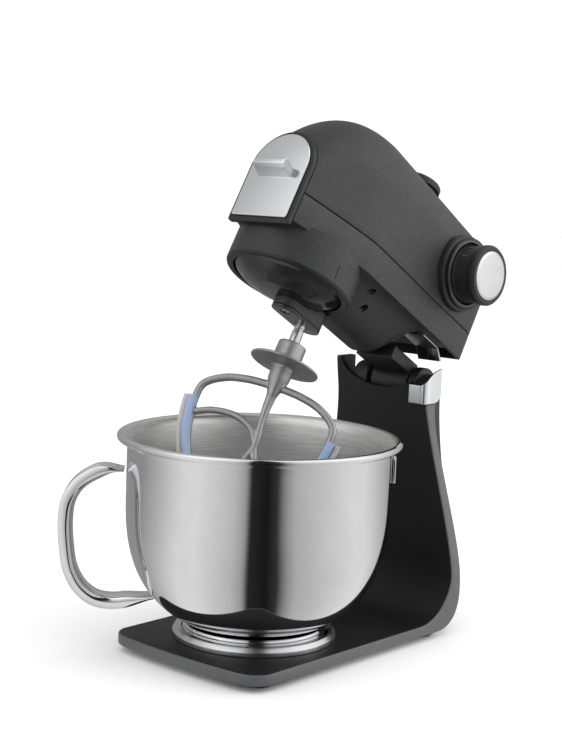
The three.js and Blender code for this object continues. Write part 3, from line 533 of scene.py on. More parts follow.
def silicone(name, colour, roughness, scatter, **sockets):
    """Soft silicone: slightly see-through, with a dusty, finely pitted skin."""
    made = finish(name, colour, roughness, grain=1500, bump=0.1, depth=0.04, shade=0.05, patch=120, **sockets)
    shader = made.node_tree.nodes["Principled BSDF"]
    shader.inputs["Subsurface Weight"].default_value = scatter
    shader.inputs["Subsurface Radius"].default_value = (0.004, 0.004, 0.005)
    shader.inputs["Subsurface Scale"].default_value = 1
    return made


LEVEL_LINES = (0.03, 0.03, 1)

PAINT = flecked_paint("charcoal_paint", (0.014, 0.0145, 0.015), (0.10, 0.10, 0.105), (0.42, 0.54))
# Lit copy of the base paint for the plate's rounded rim: painted light, standing for the light from the right
# that the rim catches; the real rim has the same paint as the plate.
PAINTED_LIGHT_RIM_PAINT = flecked_paint("charcoal_paint_painted_lit_rim", (0.07, 0.071, 0.073), (0.2, 0.2, 0.21), (0.42, 0.54))
BASE_PAINT = flecked_paint("black_base_paint", (0.004, 0.004, 0.0045), (0.03, 0.03, 0.032), (0.45, 0.58))
MATT_BLACK = finish("black_plastic", (0.005, 0.005, 0.0055), (0.38, 0.52), grain=1300, wear=0.3)
GLOSS_BLACK = finish("gloss_black_plastic", (0.006, 0.006, 0.007), (0.14, 0.26), grain=90, stretch=(1, 6, 1),
                     bump=0.04, depth=0.05, patch=160, wear=0.4, Coat_Weight=0.4, Coat_Roughness=0.12)
CHROME = finish("satin_chrome", (0.80, 0.81, 0.82), (0.14, 0.22), 1, grain=1200, bump=0.02, depth=0.01,
                shade=0.02, wear=0.2)
MIRROR = finish("mirror_steel", (0.74, 0.74, 0.75), (0.035, 0.075), 1, grain=60, bump=0.01, depth=0.02,
                shade=0.015, patch=40)
BRUSHED = finish("brushed_steel", (0.72, 0.72, 0.71), (0.34, 0.44), 1, grain=1600, stretch=LEVEL_LINES,
                 bump=0.25, depth=0.05, shade=0.12)
SATIN = finish("satin_steel", (0.62, 0.62, 0.63), (0.16, 0.3), 1, grain=1400, stretch=LEVEL_LINES,
               bump=0.08, depth=0.03, shade=0.06, wear=0.2)
SHAFT_STEEL = finish("turned_steel", (0.60, 0.60, 0.61), (0.12, 0.24), 1, grain=2400, stretch=LEVEL_LINES,
                     bump=0.06, depth=0.02, shade=0.06)
DARK_METAL = finish("dark_knurled_metal", (0.10, 0.10, 0.105), (0.3, 0.4), 1, grain=1500, bump=0.1, shade=0.1)
CAST = finish("cast_aluminium", (0.36, 0.36, 0.365), (0.34, 0.48), 0.9, grain=1000, bump=0.3, depth=0.08,
              shade=0.12, wear=0.35, patch=90)
BLUE = silicone("blue_silicone", (0.27, 0.37, 0.56), (0.42, 0.55), 0.25)
CLEAR = silicone("pale_silicone", (0.56, 0.55, 0.55), (0.35, 0.5), 0.3, Transmission_Weight=0.3)
RUBBER = finish("dark_rubber", (0.035, 0.036, 0.038), (0.65, 0.85), grain=1500, bump=0.3, depth=0.08,
                wear=0.3)
NYLON = finish("white_nylon", (0.72, 0.70, 0.62), (0.38, 0.5), grain=600, bump=0.08, shade=0.04)
COPPER = finish("wound_copper", (0.60, 0.27, 0.12), (0.25, 0.4), 0.9, grain=900, stretch=(0.1, 0.1, 1),
                bump=0.5, depth=0.3)
BOARD = finish("circuit_board", (0.02, 0.14, 0.06), (0.3, 0.45), grain=500, bump=0.2, depth=0.05)
TICK_PAINT = finish("dial_print", (0.12, 0.12, 0.125), (0.5, 0.6), grain=2000, bump=0.1)
BACKGROUND = finish("studio_paper", (0.92, 0.92, 0.92), (0.8, 0.9), grain=300, bump=0.02, shade=0.01, patch=3)


def dressed(made, body, material_slot, *finishes, replaces=()):
    """Gives a piece its finishes, its body and the CAD nodes it stands for."""
    mesh = made.data
    sheets = np.zeros(len(mesh.polygons), np.int32)
    mesh.polygons.foreach_get("material_index", sheets)
    mesh.materials.clear()
    for one in finishes:
        mesh.materials.append(one)
    mesh.polygons.foreach_set("material_index", np.minimum(sheets, len(finishes) - 1))
    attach(made, body)
    if replaces:
        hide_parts(*replaces)
    return made


# ------------------------------------------------------------ base and column

FOOT_HEIGHT = 5.5
SLAB_TOP = 14.6
SLAB_HALF = 83.6
COLUMN_TOP = 235
COLUMN_HALF = 50.3
COLUMN_WAIST = 205
PLATE_THICKNESS = 9.1
PLATE_RIM = 1.1
HINGE_Z = 216
PIN_RADIUS = 4
SLAB_ROWS_END = 60
BEND_RADIUS = 43
BEND_TOP = SLAB_TOP + BEND_RADIUS
FRONT_BEND_Y = 123
BACK_Y = 178.5
BACK_LOW = 38
COVER_LOW, COVER_TOP = 30, 212
COVER_BACK = 206
COVER_WALL = 3

SIDE_SWEEP = chain([(SLAB_HALF, 0)],
                   bezier((SLAB_HALF, 44), (SLAB_HALF, 80), (COLUMN_HALF + 4, 140),
                          (COLUMN_HALF, COLUMN_WAIST), 24),
                   [(COLUMN_HALF, COLUMN_TOP)])
FRONT_SWEEP = chain(bezier((0, -91), (20, -91), (45, -89.8), (59.6, -88), 8),
                    bezier((59.6, -88), (75.6, -87), (SLAB_HALF, -80), (SLAB_HALF, -62), 14))
COLUMN_FRONT = chain([(FRONT_BEND_Y + BEND_RADIUS, BEND_TOP)],
                     bezier((166.5, 110), (166.5, 170), (157, 210), (155, COLUMN_TOP), 24))
COLUMN_BACK = chain(bezier((BACK_Y, BACK_LOW), (BACK_Y, 90), (178, 120), (175.5, 150), 16),
                    bezier((175.5, 150), (172, 178), (170.5, 192), (175, 208), 16),
                    [(178, 222), (178, COLUMN_TOP)])


def half_width(z):
    return np.interp(z, SIDE_SWEEP[:, 1], SIDE_SWEEP[:, 0])


def base_lines():
    """Matching (y, z) points on the plate's front and back faces, from the slab up the column."""
    front_bend = arc((FRONT_BEND_Y, BEND_TOP), BEND_RADIUS, -90, 0, 26)
    back_bend = bezier((148, FOOT_HEIGHT), (168, FOOT_HEIGHT), (BACK_Y, 18), (BACK_Y, BACK_LOW), 40)
    front = chain([(y, SLAB_TOP) for y in (SLAB_ROWS_END, 80, 100)], front_bend)
    back = chain([(y, FOOT_HEIGHT) for y in (SLAB_ROWS_END, 88, 118)], resampled(back_bend, 27))
    faces = []
    for bend, low, line in ((front, BEND_TOP, COLUMN_FRONT), (back, BACK_LOW, COLUMN_BACK)):
        z = mix(low, COLUMN_TOP, np.linspace(0, 1, 46))
        column = np.column_stack((np.interp(z, line[:, 1], line[:, 0]), z))
        faces.append(np.vstack((bend, column[1:])))
    return faces


def base_plate():
    front, back = base_lines()
    along = SLAB_ROWS_END + distances(front)
    across = np.sin(np.linspace(-0.5 * math.pi, 0.5 * math.pi, 53))
    rows = []
    for share in np.linspace(0, 1, 26)[:-1]:
        x = across * (SLAB_HALF - PLATE_RIM)
        start = np.interp(np.abs(x), FRONT_SWEEP[:, 0], FRONT_SWEEP[:, 1]) + PLATE_RIM
        rows.append(np.column_stack((x, mix(start, SLAB_ROWS_END, share))))
    for t, (_, z) in zip(along, front):
        x = across * (half_width(z) - PLATE_RIM)
        rows.append(np.column_stack((x, np.full(len(x), t - (PLATE_RIM if t == along[-1] else 0)))))

    def at(x, t, depth):
        faces = []
        for line in (front, back):
            y = np.where(t < SLAB_ROWS_END, t, np.interp(t, along, line[:, 0]))
            faces.append(np.column_stack((y, np.interp(t, along, line[:, 1]))))
        bent = mix(faces[0], faces[1], depth / PLATE_THICKNESS)
        return np.column_stack((x * half_width(bent[:, 1]) / half_width(faces[0][:, 1]), bent))

    plate = bent_plate("base_plate", np.array(rows), at, PLATE_THICKNESS, PLATE_RIM, TABLE)
    scoop = slab("scoop", ellipse(92, 52, 64) + (0, COLUMN_TOP + 3), -172, -140, along_y(TABLE), 0.1)
    bay = block("bay", -46, 46, 160.5, 190, 194, COLUMN_TOP + 5, TABLE)
    notch = block("notch", 33.5, 60, 140, 190, 200.6, COLUMN_TOP + 5, TABLE)
    carved(plate, scoop, bay, notch, sharp=40)
    # The rounded rim, sheet 1, gets the lighter copy of the paint as painted light.
    return dressed(plate, "base", "body_paint", BASE_PAINT, PAINTED_LIGHT_RIM_PAINT, replaces=["base_frame"])


def feet():
    profile = rounded([(0, 0), (9, 0, 1), (10.6, 1.6, 0.8), (11, 6.6, 0.3), (0, 6.6)])
    for i, (x, y) in enumerate([(-64, -62), (64, -62), (-66, 146), (66, 146)], 1):
        foot = lathe(f"rubber_foot_{i}", profile, TABLE @ Matrix.Translation((x, y, 0)), 48)
        dressed(foot, "base", "rubber", RUBBER, replaces=[f"foot_{i}"])


def rear_cover():
    """Bulged shell behind the column."""
    rows = []
    for z in np.linspace(COVER_LOW, COVER_TOP, 60):
        width = mix(SLAB_HALF - 14, COLUMN_HALF - 3.5, smoothstep(z, COVER_LOW, COLUMN_WAIST))
        start = np.interp(z, COLUMN_BACK[:, 1], COLUMN_BACK[:, 0]) + GAP
        rows.append(cover_ring(width, start, z))
    rings = np.array(rows)
    count = rings.shape[1]
    half = count // 2
    faces = grid_faces(len(rows), count, around=True)
    for first in (0, (len(rows) - 1) * count):
        last = first + count - 1
        faces += [[first + i, first + i + 1, last - i - 1, last - i] for i in range(half - 1)]
    shell = piece("rear_cover", rings.reshape(-1, 3), faces, TABLE, 40)
    floor = slab("floor", rings[0, :half, :2], COVER_LOW, COVER_LOW + COVER_WALL, TABLE, 0.2)
    return dressed(merged("rear_cover", shell, floor), "base", "black_plastic", MATT_BLACK,
                   replaces=["column_rear_cover"])


def cover_ring(width, start, z):
    """Closed U-shaped ring of the rear cover at one height."""

    def half_line(inset):
        end = COVER_BACK - inset
        side = bezier((1, 178), (0.98, mix(178, end, 0.6)), (0.62, end), (0, end), 16)
        right = np.vstack(([[1, start]], side))
        return np.vstack((right, right[-2::-1] * (-1, 1))) * (width - inset, 1)

    ring = np.vstack((half_line(0), half_line(COVER_WALL)[::-1]))
    return np.column_stack((ring, np.full(len(ring), z)))


def clamp_ring():
    seat = SLAB_TOP + GAP
    profile = rounded([(63.6, 17), (63.6, seat), (68.5, seat, 0.3), (68.3, 18.6, 0.8), (65.8, 22.1, 0.8),
                       (60.6, 22.1, 0.8), (60.6, 19.6, 0.4), (63.6, 19.6, 0.3), (63.6, 17)])
    ring = lathe("clamp_ring", profile, TABLE, 160, 40)
    for i in range(3):
        turn = Matrix.Rotation(math.radians(30 + 120 * i), 4, "Z")
        carved(ring, block("gate", 56, 63.5, -13, 13, 15.5, 24, TABLE @ turn, 0.2), sharp=40)
    return dressed(ring, "base", "satin_steel", SATIN, replaces=["bowl_clamp_ring"])


def cord_gland():
    rings = [(0, 0), (7.5, 0, 0.5), (7.5, 4, 0.6), (5.5, 5, 0.3)]
    for i in range(5):
        z = 6 + 2.6 * i
        rings += [(5.4 - 0.1 * i, z, 0.3), (4.6 - 0.08 * i, z + 0.7, 0.2), (4.6 - 0.08 * i, z + 1.7, 0.2)]
    rings += [(4.5, 20, 0.5), (0, 20)]
    place = TABLE @ Matrix.Translation((0, 206.4, 52)) @ Matrix.Rotation(-0.5 * math.pi, 4, "X")
    gland = lathe("cord_gland_sleeve", rounded(rings, 3), place, 48)
    return dressed(gland, "base", "rubber", RUBBER, replaces=["cord_gland"])


# ------------------------------------------------------------ hinge and release lever


def knuckles():
    for side, x0, x1 in (("left", -35, -19), ("right", 28, 36.5)):
        eye = collar(f"knuckle_{side}", PIN_RADIUS + GAP, 15, x0, x1, along_x(LEVER))
        web = block("web", x0, x1, -6, 12, -21.4, -8, LEVER, 0.8)
        dressed(merged(f"knuckle_{side}", eye, web), "base", "black_plastic", MATT_BLACK,
                replaces=[f"hinge_knuckle_{side}"])
    pin = rod("pivot_pin", PIN_RADIUS, -39, 47.5, 0.5, along_x(LEVER), 48)
    dressed(pin, "base", "steel", SHAFT_STEEL, replaces=["hinge_pin"])


def lever_plate():
    """Chrome sheet bent round the column's top corner."""
    plan = chain([(35, -22)], bezier((46, -22), (50.7, -22), (53.07, -19.3), (53.2, -14), 12), [(53.2, 1.6)])
    plan = resampled(plan, 60)
    along = distances(plan)
    low = chain([(-23, -14.2)], bezier((-8, -14.2), (-1.6, -13.4), (1.6, -10), (1.6, -4), 10))
    top = chain(bezier((-23, 1.2), (-18.5, 6.4), (-13, 11.4), (-7, 13.5), 10), [(1.6, 16)])
    tangent = tangents(plan)
    rim = 0.5
    inside = (along > rim) & (along < along[-1] - rim)
    stops = np.r_[rim, along[inside], along[-1] - rim]
    y = np.interp(stops, along, plan[:, 1])
    z_low = np.interp(y, low[:, 0], low[:, 1]) + rim
    z_top = np.interp(y, top[:, 0], top[:, 1]) - rim
    rows = [np.column_stack((stops, mix(z_low, z_top, share))) for share in np.linspace(0, 1, 24)]

    def at(a, z, depth):
        x, y = (np.interp(a, along, plan[:, k]) for k in (0, 1))
        tx, ty = (np.interp(a, along, tangent[:, k]) for k in (0, 1))
        return np.column_stack((x - ty * depth, y + tx * depth, z))

    plate = bent_plate("lever_plate_bent", np.array(rows), at, 2.2, rim, LEVER)
    return dressed(plate, "lever", "chrome", CHROME, replaces=["lever_plate"])


def lever_core():
    outline = chain([(-19.3, -13.5)], bezier((-9, -13.5), (1, -13.2), (7, -10), (9, -4), 8),
                    arc((0, 0), 9.8, -20, 90, 12), [(-10, 6), (-19.3, 0)])
    core = slab("lever_body", outline, 37.5, 45.6, along_x(LEVER), 0.6)
    carved(core, drill("bore", PIN_RADIUS + GAP, 30, 60, along_x(LEVER), 40))
    return dressed(core, "lever", "black_plastic", MATT_BLACK, replaces=["lever_core"])


# ------------------------------------------------------------ head shells; s counts forward of the hinge

HEAD_REAR = -14.5
HEAD_NOSE = 231
HEAD_WALL = 3
HEAD_EDGE_Z = 32.5
HEAD_SPLIT_Z = 58
MOTOR_S = 68.5
SKIRT_RADIUS = 54.7
SKIRT_BOTTOM = 4.2
SKIRT_TOP = HEAD_EDGE_Z + 4
PANEL_FLOOR = 118
HUB_Z = 74
BAR_HALF = 17
BELLY_REAR = 46
BELLY_DEPTH = 32.5
BELLY_STEP = 0.6
BAY_FRONT = 12


def rear_rounding(s):
    return np.clip((HEAD_REAR + 13.5 - s) / 13.5, 0, 1) ** 2.5


def head_half(s):
    taper = np.clip((s - 150) / (HEAD_NOSE - 150), 0, 1) ** 1.2
    return 55 - 22 * taper - 4 * rear_rounding(s)


def head_top(s):
    rise = np.clip(s / 150, 0, 1)
    drop = np.clip((s - 135) / (HEAD_NOSE - 135), 0, 1) ** 3
    return 157 + 5 * rise - 50 * drop - 5 * rear_rounding(s)


def belly_depth(s):
    return mix(BELLY_DEPTH, 5, smoothstep(s, 118, 215))


def stations(start, end, count):
    """Places along the head, closer together at both ends."""
    share = 0.5 - 0.5 * np.cos(np.linspace(0, math.pi, count))
    return mix(start, end, 0.5 * share + 0.5 * np.linspace(0, 1, count))


def at_station(line, s):
    """An (x, z) line, stood across the head at station s."""
    return np.column_stack((line[:, 0], np.full(len(line), -s), line[:, 1]))


def arch_line(s, inset, floor, sides=10, crown=44):
    """Arched section of the head at station s, from the right foot over the top to the left one."""
    half = head_half(s) - inset
    shoulder = head_top(s) - head_half(s)
    wall = np.column_stack((np.full(sides, half), np.linspace(floor, shoulder, sides, endpoint=False)))
    over = arc((0, shoulder), half, 0, 180, crown)
    return at_station(np.vstack((wall, over, (wall * (-1, 1))[::-1])), s)


def foot_round(line, radius):
    """The same section with its two feet rounded inwards."""
    quarter = np.linspace(0, 0.5 * math.pi, 4)
    turn = [(radius * (1 - math.sin(a)), radius * (1 - math.cos(a))) for a in quarter]
    right_x, y, low = line[0]
    left_x = line[-1, 0]
    right = [(right_x - inward, y, low + up) for inward, up in turn]
    left = [(left_x + inward, y, low + up) for inward, up in turn[::-1]]
    return np.vstack((right, line[1:-1], left))


def head_shell():
    """Hollow arched body, closed at the rear and open below and at the nose."""
    skins = []
    for inset, radius in ((0, 0.7), (HEAD_WALL, 0.1)):
        for s in stations(HEAD_REAR + inset, HEAD_NOSE, 84):
            skins.append(foot_round(arch_line(s, inset, HEAD_SPLIT_Z + GAP), radius))
    columns = len(skins[0])
    rows = len(skins) // 2
    shift = rows * columns
    faces = grid_faces(rows, columns) + grid_faces(rows, columns, shift, flip=True)
    for edge in (0, columns - 1):
        feet_line = [i * columns + edge for i in range(rows)]
        faces += [[a, b, shift + b, shift + a] for a, b in zip(feet_line, feet_line[1:])]
    last = (rows - 1) * columns
    faces += [[j, j + 1, shift + j + 1, shift + j] for j in range(last, last + columns - 1)]
    faces.append(list(range(columns)))
    faces.append([shift + j for j in range(columns)][::-1])
    faces.append([0, columns - 1, shift + columns - 1, shift])
    return piece("head_cover", np.vstack(skins), faces, HEAD, 35)


def panel_outline(grow):
    front, half = 118 + grow, 36 + grow
    side = bezier((half, 30 - front), (half, 8 - front), (half - 12, -front), (0, -front), 20)
    right = np.vstack(([[half, 30]], side))
    return np.vstack((right, (right * (-1, 1))[-2::-1]))


def nose_arch(half, floor, top, corner=0, count=40):
    """Flat-bottomed arch outline in X and Z."""
    over = arc((0, top - half), half, 0, 180, count)
    corners = [(0, floor), (half, floor, corner), (half, top - half - 0.1)]
    right = rounded(corners, 4)[1:] if corner else np.array([(half, floor)])
    left = (right * (-1, 1))[::-1]
    return chain(right, over, left)


def nose_window():
    """Cutter for the opening behind the nose bezel."""
    return slab("window", nose_arch(29, 38, 104.5), 215, 245, along_y(HEAD), 0.1)


def head_covers():
    shell = head_shell()
    carved(shell, nose_window(), sharp=35)
    panel = shell.copy()
    panel.data = shell.data.copy()
    panel.name = "head_rear_panel"
    bpy.context.scene.collection.objects.link(panel)
    gap = slab("panel_gap", panel_outline(0.5), PANEL_FLOOR, 175, HEAD, 0.1)
    carved(shell, gap, drill("knob_bore", 7, 40, 72, KNOB, 40), sharp=35)
    keep = slab("panel_keep", panel_outline(-0.1), PANEL_FLOOR + GAP, 175, HEAD, 0.1)
    boolean(panel, "INTERSECT", keep, sharp=35)
    carved(panel, drill("port_hole", 19, 130, 175, port_place(), 64), sharp=35)
    dressed(shell, "head", "body_paint", PAINT, replaces=["head_upper_cover"])
    dressed(panel, "head", "body_paint", PAINT, replaces=["head_top_panel"])


def port_place():
    return HEAD @ Matrix.Translation((0, -MOTOR_S, 0))


def port_cap():
    profile = rounded([(0, 153), (18.5, 153, 0.4), (18.5, 160.4, 0.2), (21, 160.4, 0.4), (21, 165, 1.2),
                       (19.5, 167, 0.8), (17, 167.1, 0.4), (16.4, 166.3, 0.3), (0, 166.6)])
    return dressed(lathe("port_lid_cap", profile, port_place(), 96), "port_lid", "black_plastic", MATT_BLACK,
                   replaces=["port_cap"])


def belly(name, inset, start, end, rounding=0, count=56):
    """Bulge under the head, or the hollow inset from it. Its rear end fades in over the rounding."""
    sections = []
    across = np.linspace(-1, 1, 61)
    bulge = 1 - smoothstep(np.abs(across), 0.1, 1)
    top = HEAD_EDGE_Z + inset + 1
    for s in stations(start, end, count):
        half = head_half(s) - BELLY_STEP - inset
        fade = math.sqrt(1 - (1 - min(1, (s - start) / rounding)) ** 2) if rounding else 1
        under = HEAD_EDGE_Z + inset - 0.02 - fade * bulge * belly_depth(s)
        line = np.vstack((np.column_stack((across * half, under)), [[half, top], [-half, top]]))
        sections.append(at_station(line, s))
    return lofted(name, sections, HEAD)


def head_plan(inset, start, end):
    line = [(head_half(s) - inset, -s) for s in stations(start, end, 70)]
    return np.vstack((line, (np.array(line) * (-1, 1))[::-1]))


SCREW_PLACES = ((122.5, 43), (110.5, 31), (15, 37))
INDEX_MARK_TURN = math.radians(-8)


def housing_side():
    """Side view of the lower housing, with its lower rear corner rounded, as (y, z)."""
    rear = -HEAD_REAR
    top = HEAD_SPLIT_Z - GAP
    corner = 12
    return rounded([(-200, -5), (rear - corner, -5), (rear - corner, HEAD_EDGE_Z),
                    (rear + 0.1, HEAD_EDGE_Z, corner), (rear + 0.1, top), (-250, top), (-250, -5),
                    (-200, -5)], 10)[:-1]


def housing_band():
    """Lower half of the head, with its belly and the skirt round the planet drive, still solid."""
    plan = head_plan(0, HEAD_REAR, HEAD_NOSE)
    band_piece = slab("head_housing", plan, HEAD_EDGE_Z, HEAD_SPLIT_Z - GAP, HEAD, 0.8, 3, 35)
    skirt = rounded([(0, SKIRT_BOTTOM), (SKIRT_RADIUS, SKIRT_BOTTOM, 0.8), (SKIRT_RADIUS, SKIRT_TOP),
                     (0, SKIRT_TOP)])
    bulge = belly("belly", 0, BELLY_REAR, 222, 14)
    fused(band_piece, bulge, lathe("skirt", skirt, PLANET, FINE_STEPS), sharp=35)
    side = slab("side_view", housing_side(), -80, 80, along_x(HEAD), 0.1)
    return boolean(band_piece, "INTERSECT", side, sharp=35)


def housing_hollows():
    """Cutters for the inside of the lower housing and for the holes and mark in its skin."""
    rear = HEAD_REAR + HEAD_WALL
    inside = head_plan(HEAD_WALL, rear, HEAD_NOSE - HEAD_WALL)
    cutters = [slab("hollow", inside, HEAD_EDGE_Z + HEAD_WALL, 80, HEAD, 0.1),
               belly("belly_hollow", HEAD_WALL, BELLY_REAR + HEAD_WALL, 216),
               drill("well", SKIRT_RADIUS - HEAD_WALL, -20, SKIRT_TOP, PLANET, FINE_STEPS),
               slab("rear_bay", head_plan(HEAD_WALL, rear, BAY_FRONT), HEAD_EDGE_Z - 5, 80, HEAD, 0.1),
               nose_window()]
    for s, x in SCREW_PLACES:
        for side in (-1, 1):
            cutters.append(drill("screw_hole", 3.6, 0, 40, HEAD @ Matrix.Translation((side * x, -s, 0)), 32))
    place = PLANET @ Matrix.Rotation(INDEX_MARK_TURN, 4, "Z")
    cutters.append(block("mark", SKIRT_RADIUS - 0.5, SKIRT_RADIUS + 2, -0.4, 0.4, 8, 20, place, 0.05))
    return cutters


def lower_housing():
    housing = carved(housing_band(), *housing_hollows(), sharp=18)
    dressed(housing, "head", "body_paint", PAINT, replaces=["head_lower_housing"])
    trim = rounded([(48.2, 6), (48.2, 2.6, 0.3), (53.6, 2.6, 0.9), (54.4, 5.6, 0.3), (51.3, 5.6, 0.1),
                    (51.3, 9, 0.2), (48.2, 9, 0.2), (48.2, 6)])
    dressed(lathe("skirt_trim_ring", trim, PLANET, FINE_STEPS), "head", "black_plastic", MATT_BLACK)


def front_bezel():
    seat_s = HEAD_NOSE + 2
    bezel = slab("nose_bezel", nose_arch(33, 27, 112, 3), HEAD_NOSE + GAP, 236, along_y(HEAD), 0.9, 4, 40)
    carved(bezel, slab("seat", nose_arch(30, 31.2, 109, 2), seat_s, 240, along_y(HEAD), 0.1), sharp=40)
    fused(bezel, slab("plug", nose_arch(28.6, 39, 104), 225, seat_s, along_y(HEAD), 0.2), sharp=40)
    drive_place = along_y(HEAD @ Matrix.Translation((0, 0, HUB_Z)))
    carved(bezel, drill("drive_bore", 19, 200, 250, drive_place, 96), sharp=40)
    return dressed(bezel, "head", "black_plastic", MATT_BLACK, replaces=["front_bezel"])


def hub_cover():
    """Chrome nose cover with its pull bar."""
    arch = nose_arch(29.6, 31.5, 108.6, 2)
    plate = slab("nose_cover", arch, HEAD_NOSE + 2.4, 238, along_y(HEAD), 0.8, 4, 40)
    side = rounded([(237, 72), (237, 67.5), (247, 71.3, 1.2), (250.4, 73.6, 2), (250.4, 78, 1.6),
                    (247.6, 79.3, 1), (237, 76), (237, 72)])
    bar = slab("bar", side * (-1, 1), -BAR_HALF, BAR_HALF, along_x(HEAD), 0.5, 3, 40)
    plan = rounded([(0, -236), (BAR_HALF, -236), (BAR_HALF, -250.6, 6), (-BAR_HALF, -250.6, 6),
                    (-BAR_HALF, -236), (0, -236)], 8)
    boolean(bar, "INTERSECT", slab("bar_plan", plan[:-1], 50, 95, HEAD, 0.1))
    return dressed(merged("nose_cover", plate, bar), "hub_lid", "chrome", CHROME, replaces=["hub_cover"])


def hinge_barrel():
    """Moving middle of the hinge. It is 0.2 mm slimmer than the CAD one, to clear its bay's wall."""
    eye = collar("tilt_barrel", PIN_RADIUS + GAP, 14.8, -14, 26, along_x(HEAD))
    arm = block("arm", -14, 26, -(BELLY_REAR - GAP), -6, 3, 15, HEAD, 1)
    dressed(merged("tilt_barrel", eye, arm), "head", "black_plastic", MATT_BLACK, replaces=["hinge_barrel"])


def latch_bracket():
    top = HEAD_EDGE_Z - GAP
    under = top - 2
    outline = rounded([(-30, under), (-15, under, 3), (-5, 22, 0.5), (-3, 23, 0.5), (-13, top, 3),
                       (-40, top), (-40, under), (-30, under)])
    plate = slab("latch_plate", outline[:-1], 22, 46, along_x(HEAD), 0.4)
    dressed(plate, "head", "satin_steel", SATIN, replaces=["latch_bracket"])


# ------------------------------------------------------------ planetary drive

SHAFT_RADIUS = 4.85
SHAFT_BORE = SHAFT_RADIUS + GAP


def planet_dome():
    profile = rounded([(0, -8.5), (11, -8.4, 6), (22, -7.5, 10), (36, -3.5, 8), (44.5, 1.5, 3),
                       (47.8, 4.4, 1.2), (47.8, 8, 0.4), (45, 8, 0.4), (35, 0, 4), (11, -4.6, 2),
                       (11, 12, 0.3), (0, 12)], 6)
    dome = lathe("orbit_dome", profile, PLANET, FINE_STEPS)
    carved(dome, drill("bore", SHAFT_BORE, -20, 40, OUTPUT), drill("neck", 6.65, 7, 40, PLANET))
    dressed(dome, "planet", "black_plastic", GLOSS_BLACK, replaces=["planet_dome"])


def arm_outline():
    return np.vstack((arc((0, 42.5), 11.5, 0, 180, 20), arc((0, 9.5), 11.5, 180, 360, 20)))


def carrier_arm():
    arm = slab("carrier_block", arm_outline(), -15.4, 0, PLANET, 0.6)
    under = lathe("under", [(0, 20), (0, -8.9), (22, -7.9), (36, -3.9), (44.5, 1.1), (48.2, 4.6), (60, 12),
                            (60, 20), (0, 20)], PLANET, 96)
    carved(arm, under, drill("bore", SHAFT_BORE, -30, 10, OUTPUT))
    dressed(arm, "planet", "body_paint", PAINT, replaces=["carrier_arm"])


def carrier_cap():
    """Cover plate under the carrier arm, with its screw in a well."""
    screw_place = PLANET @ Matrix.Translation((0, 11, 0))
    cap = slab("carrier_cap", arm_outline(), -17.6, -15.75, PLANET, 0.5)
    carved(cap, drill("bore", SHAFT_BORE, -30, 10, OUTPUT), drill("well", 4.6, -30, -10, screw_place))
    dressed(cap, "planet", "black_plastic", GLOSS_BLACK, replaces=["carrier_arm_cap"])
    head = rounded([(0, -17.2), (4.2, -16.9, 0.5), (4.2, -15.8, 0.2), (0, -15.8)])
    screw = lathe("carrier_screw", head, screw_place, 48)
    slot_place = screw_place @ Matrix.Rotation(0.9, 4, "Z")
    carved(screw, block("slot", -0.6, 0.6, -5, 5, -17.8, -16.4, slot_place, 0.05))
    dressed(screw, "planet", "steel", SHAFT_STEEL, replaces=["carrier_arm_screw"])


def output_shaft():
    profile = rounded([(0, -60), (3.9, -60, 0.3), (SHAFT_RADIUS, -58.6, 0.3), (SHAFT_RADIUS, -24, 0.2),
                       (4.3, -23.4, 0.2), (4.3, -21.8, 0.2), (SHAFT_RADIUS, -21.2, 0.2),
                       (SHAFT_RADIUS, 30, 0.3), (0, 30)])
    pin_place = along_x(BEATER @ Matrix.Translation((0, 0, -41)))
    shaft = lathe("drive_shaft", profile, BEATER, 64)
    carved(shaft, drill("hole", 1.6, -10, 10, pin_place, 32))
    dressed(shaft, "output", "steel", SHAFT_STEEL, replaces=["output_shaft"])
    pin = rod("cross_pin", 1.3, -8.5, 8.5, 0.3, pin_place, 32)
    dressed(pin, "output", "steel", SHAFT_STEEL, replaces=["shaft_cross_pin"])


# ------------------------------------------------------------ speed knob

KNOB_BORE = 27.6
POINTER = KNOB @ Matrix.Rotation(math.radians(150), 4, "Z")


def knob_collar():
    profile = rounded([(KNOB_BORE, 58), (KNOB_BORE, 55.35), (34.2, 55.35, 0.3), (33.4, 59.6, 1.2),
                       (30, 61.5, 1), (KNOB_BORE, 61.5, 0.3), (KNOB_BORE, 58)])
    dressed(lathe("knob_collar", profile, KNOB, FINE_STEPS), "head", "black_plastic", MATT_BLACK,
            replaces=["knob_bezel"])


def knob_knurl():
    """Ring whose outer edge has every second point pressed in."""
    steps = 2 * FINE_STEPS
    profile = rounded([(KNOB_BORE, 63), (KNOB_BORE, 61.85), (31.6, 61.85, 0.3), (31.6, 64.6, 0.5),
                       (KNOB_BORE, 64.6, 0.3), (KNOB_BORE, 63)])
    knurl = lathe("knob_knurl", profile, KNOB, steps)
    for v in knurl.data.vertices:
        local = KNOB.inverted() @ v.co
        turn = round(math.atan2(local.y, local.x) / (2 * math.pi) * steps)
        if local.xy.length > 31.2 and turn % 2:
            local.xy *= 0.985
            v.co = KNOB @ local
    dressed(knurl, "head", "satin_steel", DARK_METAL, replaces=["knob_ring"])


def knob_face():
    """Spun metal cap with its pointer line cut in."""
    profile = rounded([(0, 85.8), (21.4, 85.8, 0.2), (21.4, 87, 0.5), (19, 87.9, 1), (0, 88.4)])
    cap = lathe("knob_face", profile, KNOB, FINE_STEPS)
    carved(cap, block("pointer", 10, 18.5, -0.45, 0.45, 87.6, 90, POINTER, 0.05), sharp=25)
    centre = Vector(JOINTS["knob_turn"]["pos_m"])
    steel = spun_metal("spun_steel", (0.74, 0.74, 0.75), centre, RIGHT, (0.26, 0.32))
    dressed(cap, "knob", "satin_steel", steel, replaces=["knob_cap"])


